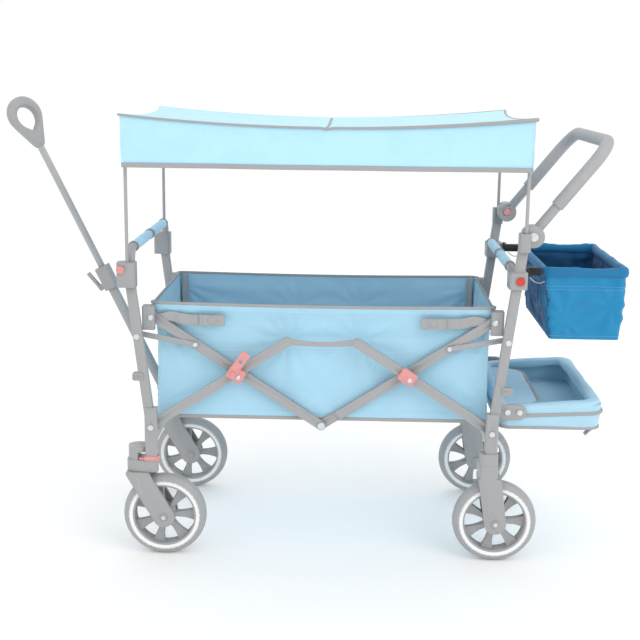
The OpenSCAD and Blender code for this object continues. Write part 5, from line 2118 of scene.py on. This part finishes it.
@dataclass(frozen=True)
class Studio:
    """The floor, the lights and the camera.

    Args:
        eye: the camera's place.
        yaw: turn to the right from looking along +Y, in radians.
        pitch: tilt upwards, in radians.
        roll: turn of the picture, in radians.
        lens: focal length for a 36 mm sensor, in millimetres.
    """

    eye: tuple[float, float, float]
    yaw: float = -0.0272
    pitch: float = -0.2087
    roll: float = 0.0118
    lens: float = 65.98

    def floor(self) -> None:
        """Make a wide pale floor."""
        reach = 40.0
        corners = np.array(
            [[-reach, -reach, 0], [reach, -reach, 0], [reach, reach, 0], [-reach, reach, 0]], float
        )
        floor = put("studio_floor", corners, [[0, 1, 2, 3]])
        tree = ShaderTree("studio_floor")
        grain = tree.noise(tree.place(), 3.0)
        shade = tree.mix(grain * 0.2, (0.96, 0.96, 0.96, 1.0), (0.94, 0.94, 0.94, 1.0))
        glow = {"Emission_Color": (1.0, 1.0, 1.0, 1.0), "Emission_Strength": 0.07}
        floor.data.materials.append(
            tree.finish(Base_Color=shade, Roughness=0.9, Specular_IOR_Level=0.1, **glow)
        )

    def world(self) -> None:
        """Fill the room with even white light."""
        world = bpy.data.worlds.new("studio")
        bpy.context.scene.world = world
        world.use_nodes = True
        background = world.node_tree.nodes["Background"]
        background.inputs["Color"].default_value = (1.0, 1.0, 1.0, 1.0)
        background.inputs["Strength"].default_value = 1.0

    def lamp(
        self, name: str, place: Sequence[float], aim: Sequence[float], size: float, power: float
    ) -> None:
        """Add a soft square lamp that points at a place."""
        light = bpy.data.lights.new(name, "AREA")
        light.shape = "SQUARE"
        light.size = size
        light.energy = power
        lamp = bpy.data.objects.new(name, light)
        bpy.context.scene.collection.objects.link(lamp)
        away = unit((np.array(place, float) - np.array(aim, float))[None])[0]
        side = unit(np.cross([0.0, 0.0, 1.0], away)[None])[0]
        lift = np.cross(away, side)
        matrix = np.eye(4)
        matrix[:3, 0], matrix[:3, 1], matrix[:3, 2], matrix[:3, 3] = side, lift, away, place
        lamp.matrix_world = Matrix(matrix.tolist())

    def camera(self) -> None:
        """Add the camera: forward from yaw and pitch, then rolled."""
        data = bpy.data.cameras.new("camera")
        data.lens = self.lens
        data.sensor_width = 36.0
        data.clip_end = 200.0
        camera = bpy.data.objects.new("camera", data)
        bpy.context.scene.collection.objects.link(camera)
        cy, sy, cp, sp = math.cos(self.yaw), math.sin(self.yaw), math.cos(self.pitch), math.sin(self.pitch)
        forward = np.array([sy * cp, cy * cp, sp])
        right = np.array([cy, -sy, 0.0])
        lift = np.cross(right, forward)
        cr, sr = math.cos(self.roll), math.sin(self.roll)
        matrix = np.eye(4)
        matrix[:3, 0] = right * cr + lift * sr
        matrix[:3, 1] = -right * sr + lift * cr
        matrix[:3, 2] = -forward
        matrix[:3, 3] = self.eye
        camera.matrix_world = Matrix(matrix.tolist())
        bpy.context.scene.camera = camera

    def build(self) -> None:
        """Set up the studio."""
        self.floor()
        self.world()
        self.lamp("key", (2.4, -3.0, 3.4), (0.0, 0.0, 0.5), 2.4, 34.0)
        self.lamp("back", (0.5, 3.2, 3.2), (0.0, 0.0, 0.6), 2.6, 14.0)
        self.camera()
        scene = bpy.context.scene
        scene.view_settings.view_transform = "Standard"
        scene.view_settings.look = "None"


# --------------------------------------------------------------------------- main


def main() -> None:
    """Build the studio and the cart."""
    logging.basicConfig(level=logging.INFO, format="%(message)s")
    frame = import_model()
    folds = fold_shares(frame)
    hub_x = folds["front_x"] + folds["span"] / 2
    Studio(eye=(hub_x + 0.0674, -2.9144, 1.1517)).build()
    dresser = Dresser(frame, Finishes())
    front_rod = Extent.of("canopy_front_rods").middle[0]
    rear_rod = Extent.of("canopy_rear_rods").middle[0]
    shortening = folds["span"] - folds["folded_span"]
    tub_fold = Foldable("tub", folds["front_x"], folds["folded_span"] / folds["span"])
    canopy_fold = Foldable("canopy", front_rod, 1 - shortening / (rear_rod - front_rod))
    Tub(dresser, tub_fold).build()
    Canopy(dresser, canopy_fold).build()
    Basket(dresser).build()
    FootWell(dresser).build()
    for end in ("front", "rear"):
        for side in Side:
            Wheel(dresser, end, side).build()
    GrabSleeve(dresser, "front_grab_sleeve", "front").build()
    GrabSleeve(dresser, "rear_grab_sleeve", "rear").build()
    PullGrip(dresser).build()
    Chassis(dresser).build()


if __name__ == "__main__":
    main()
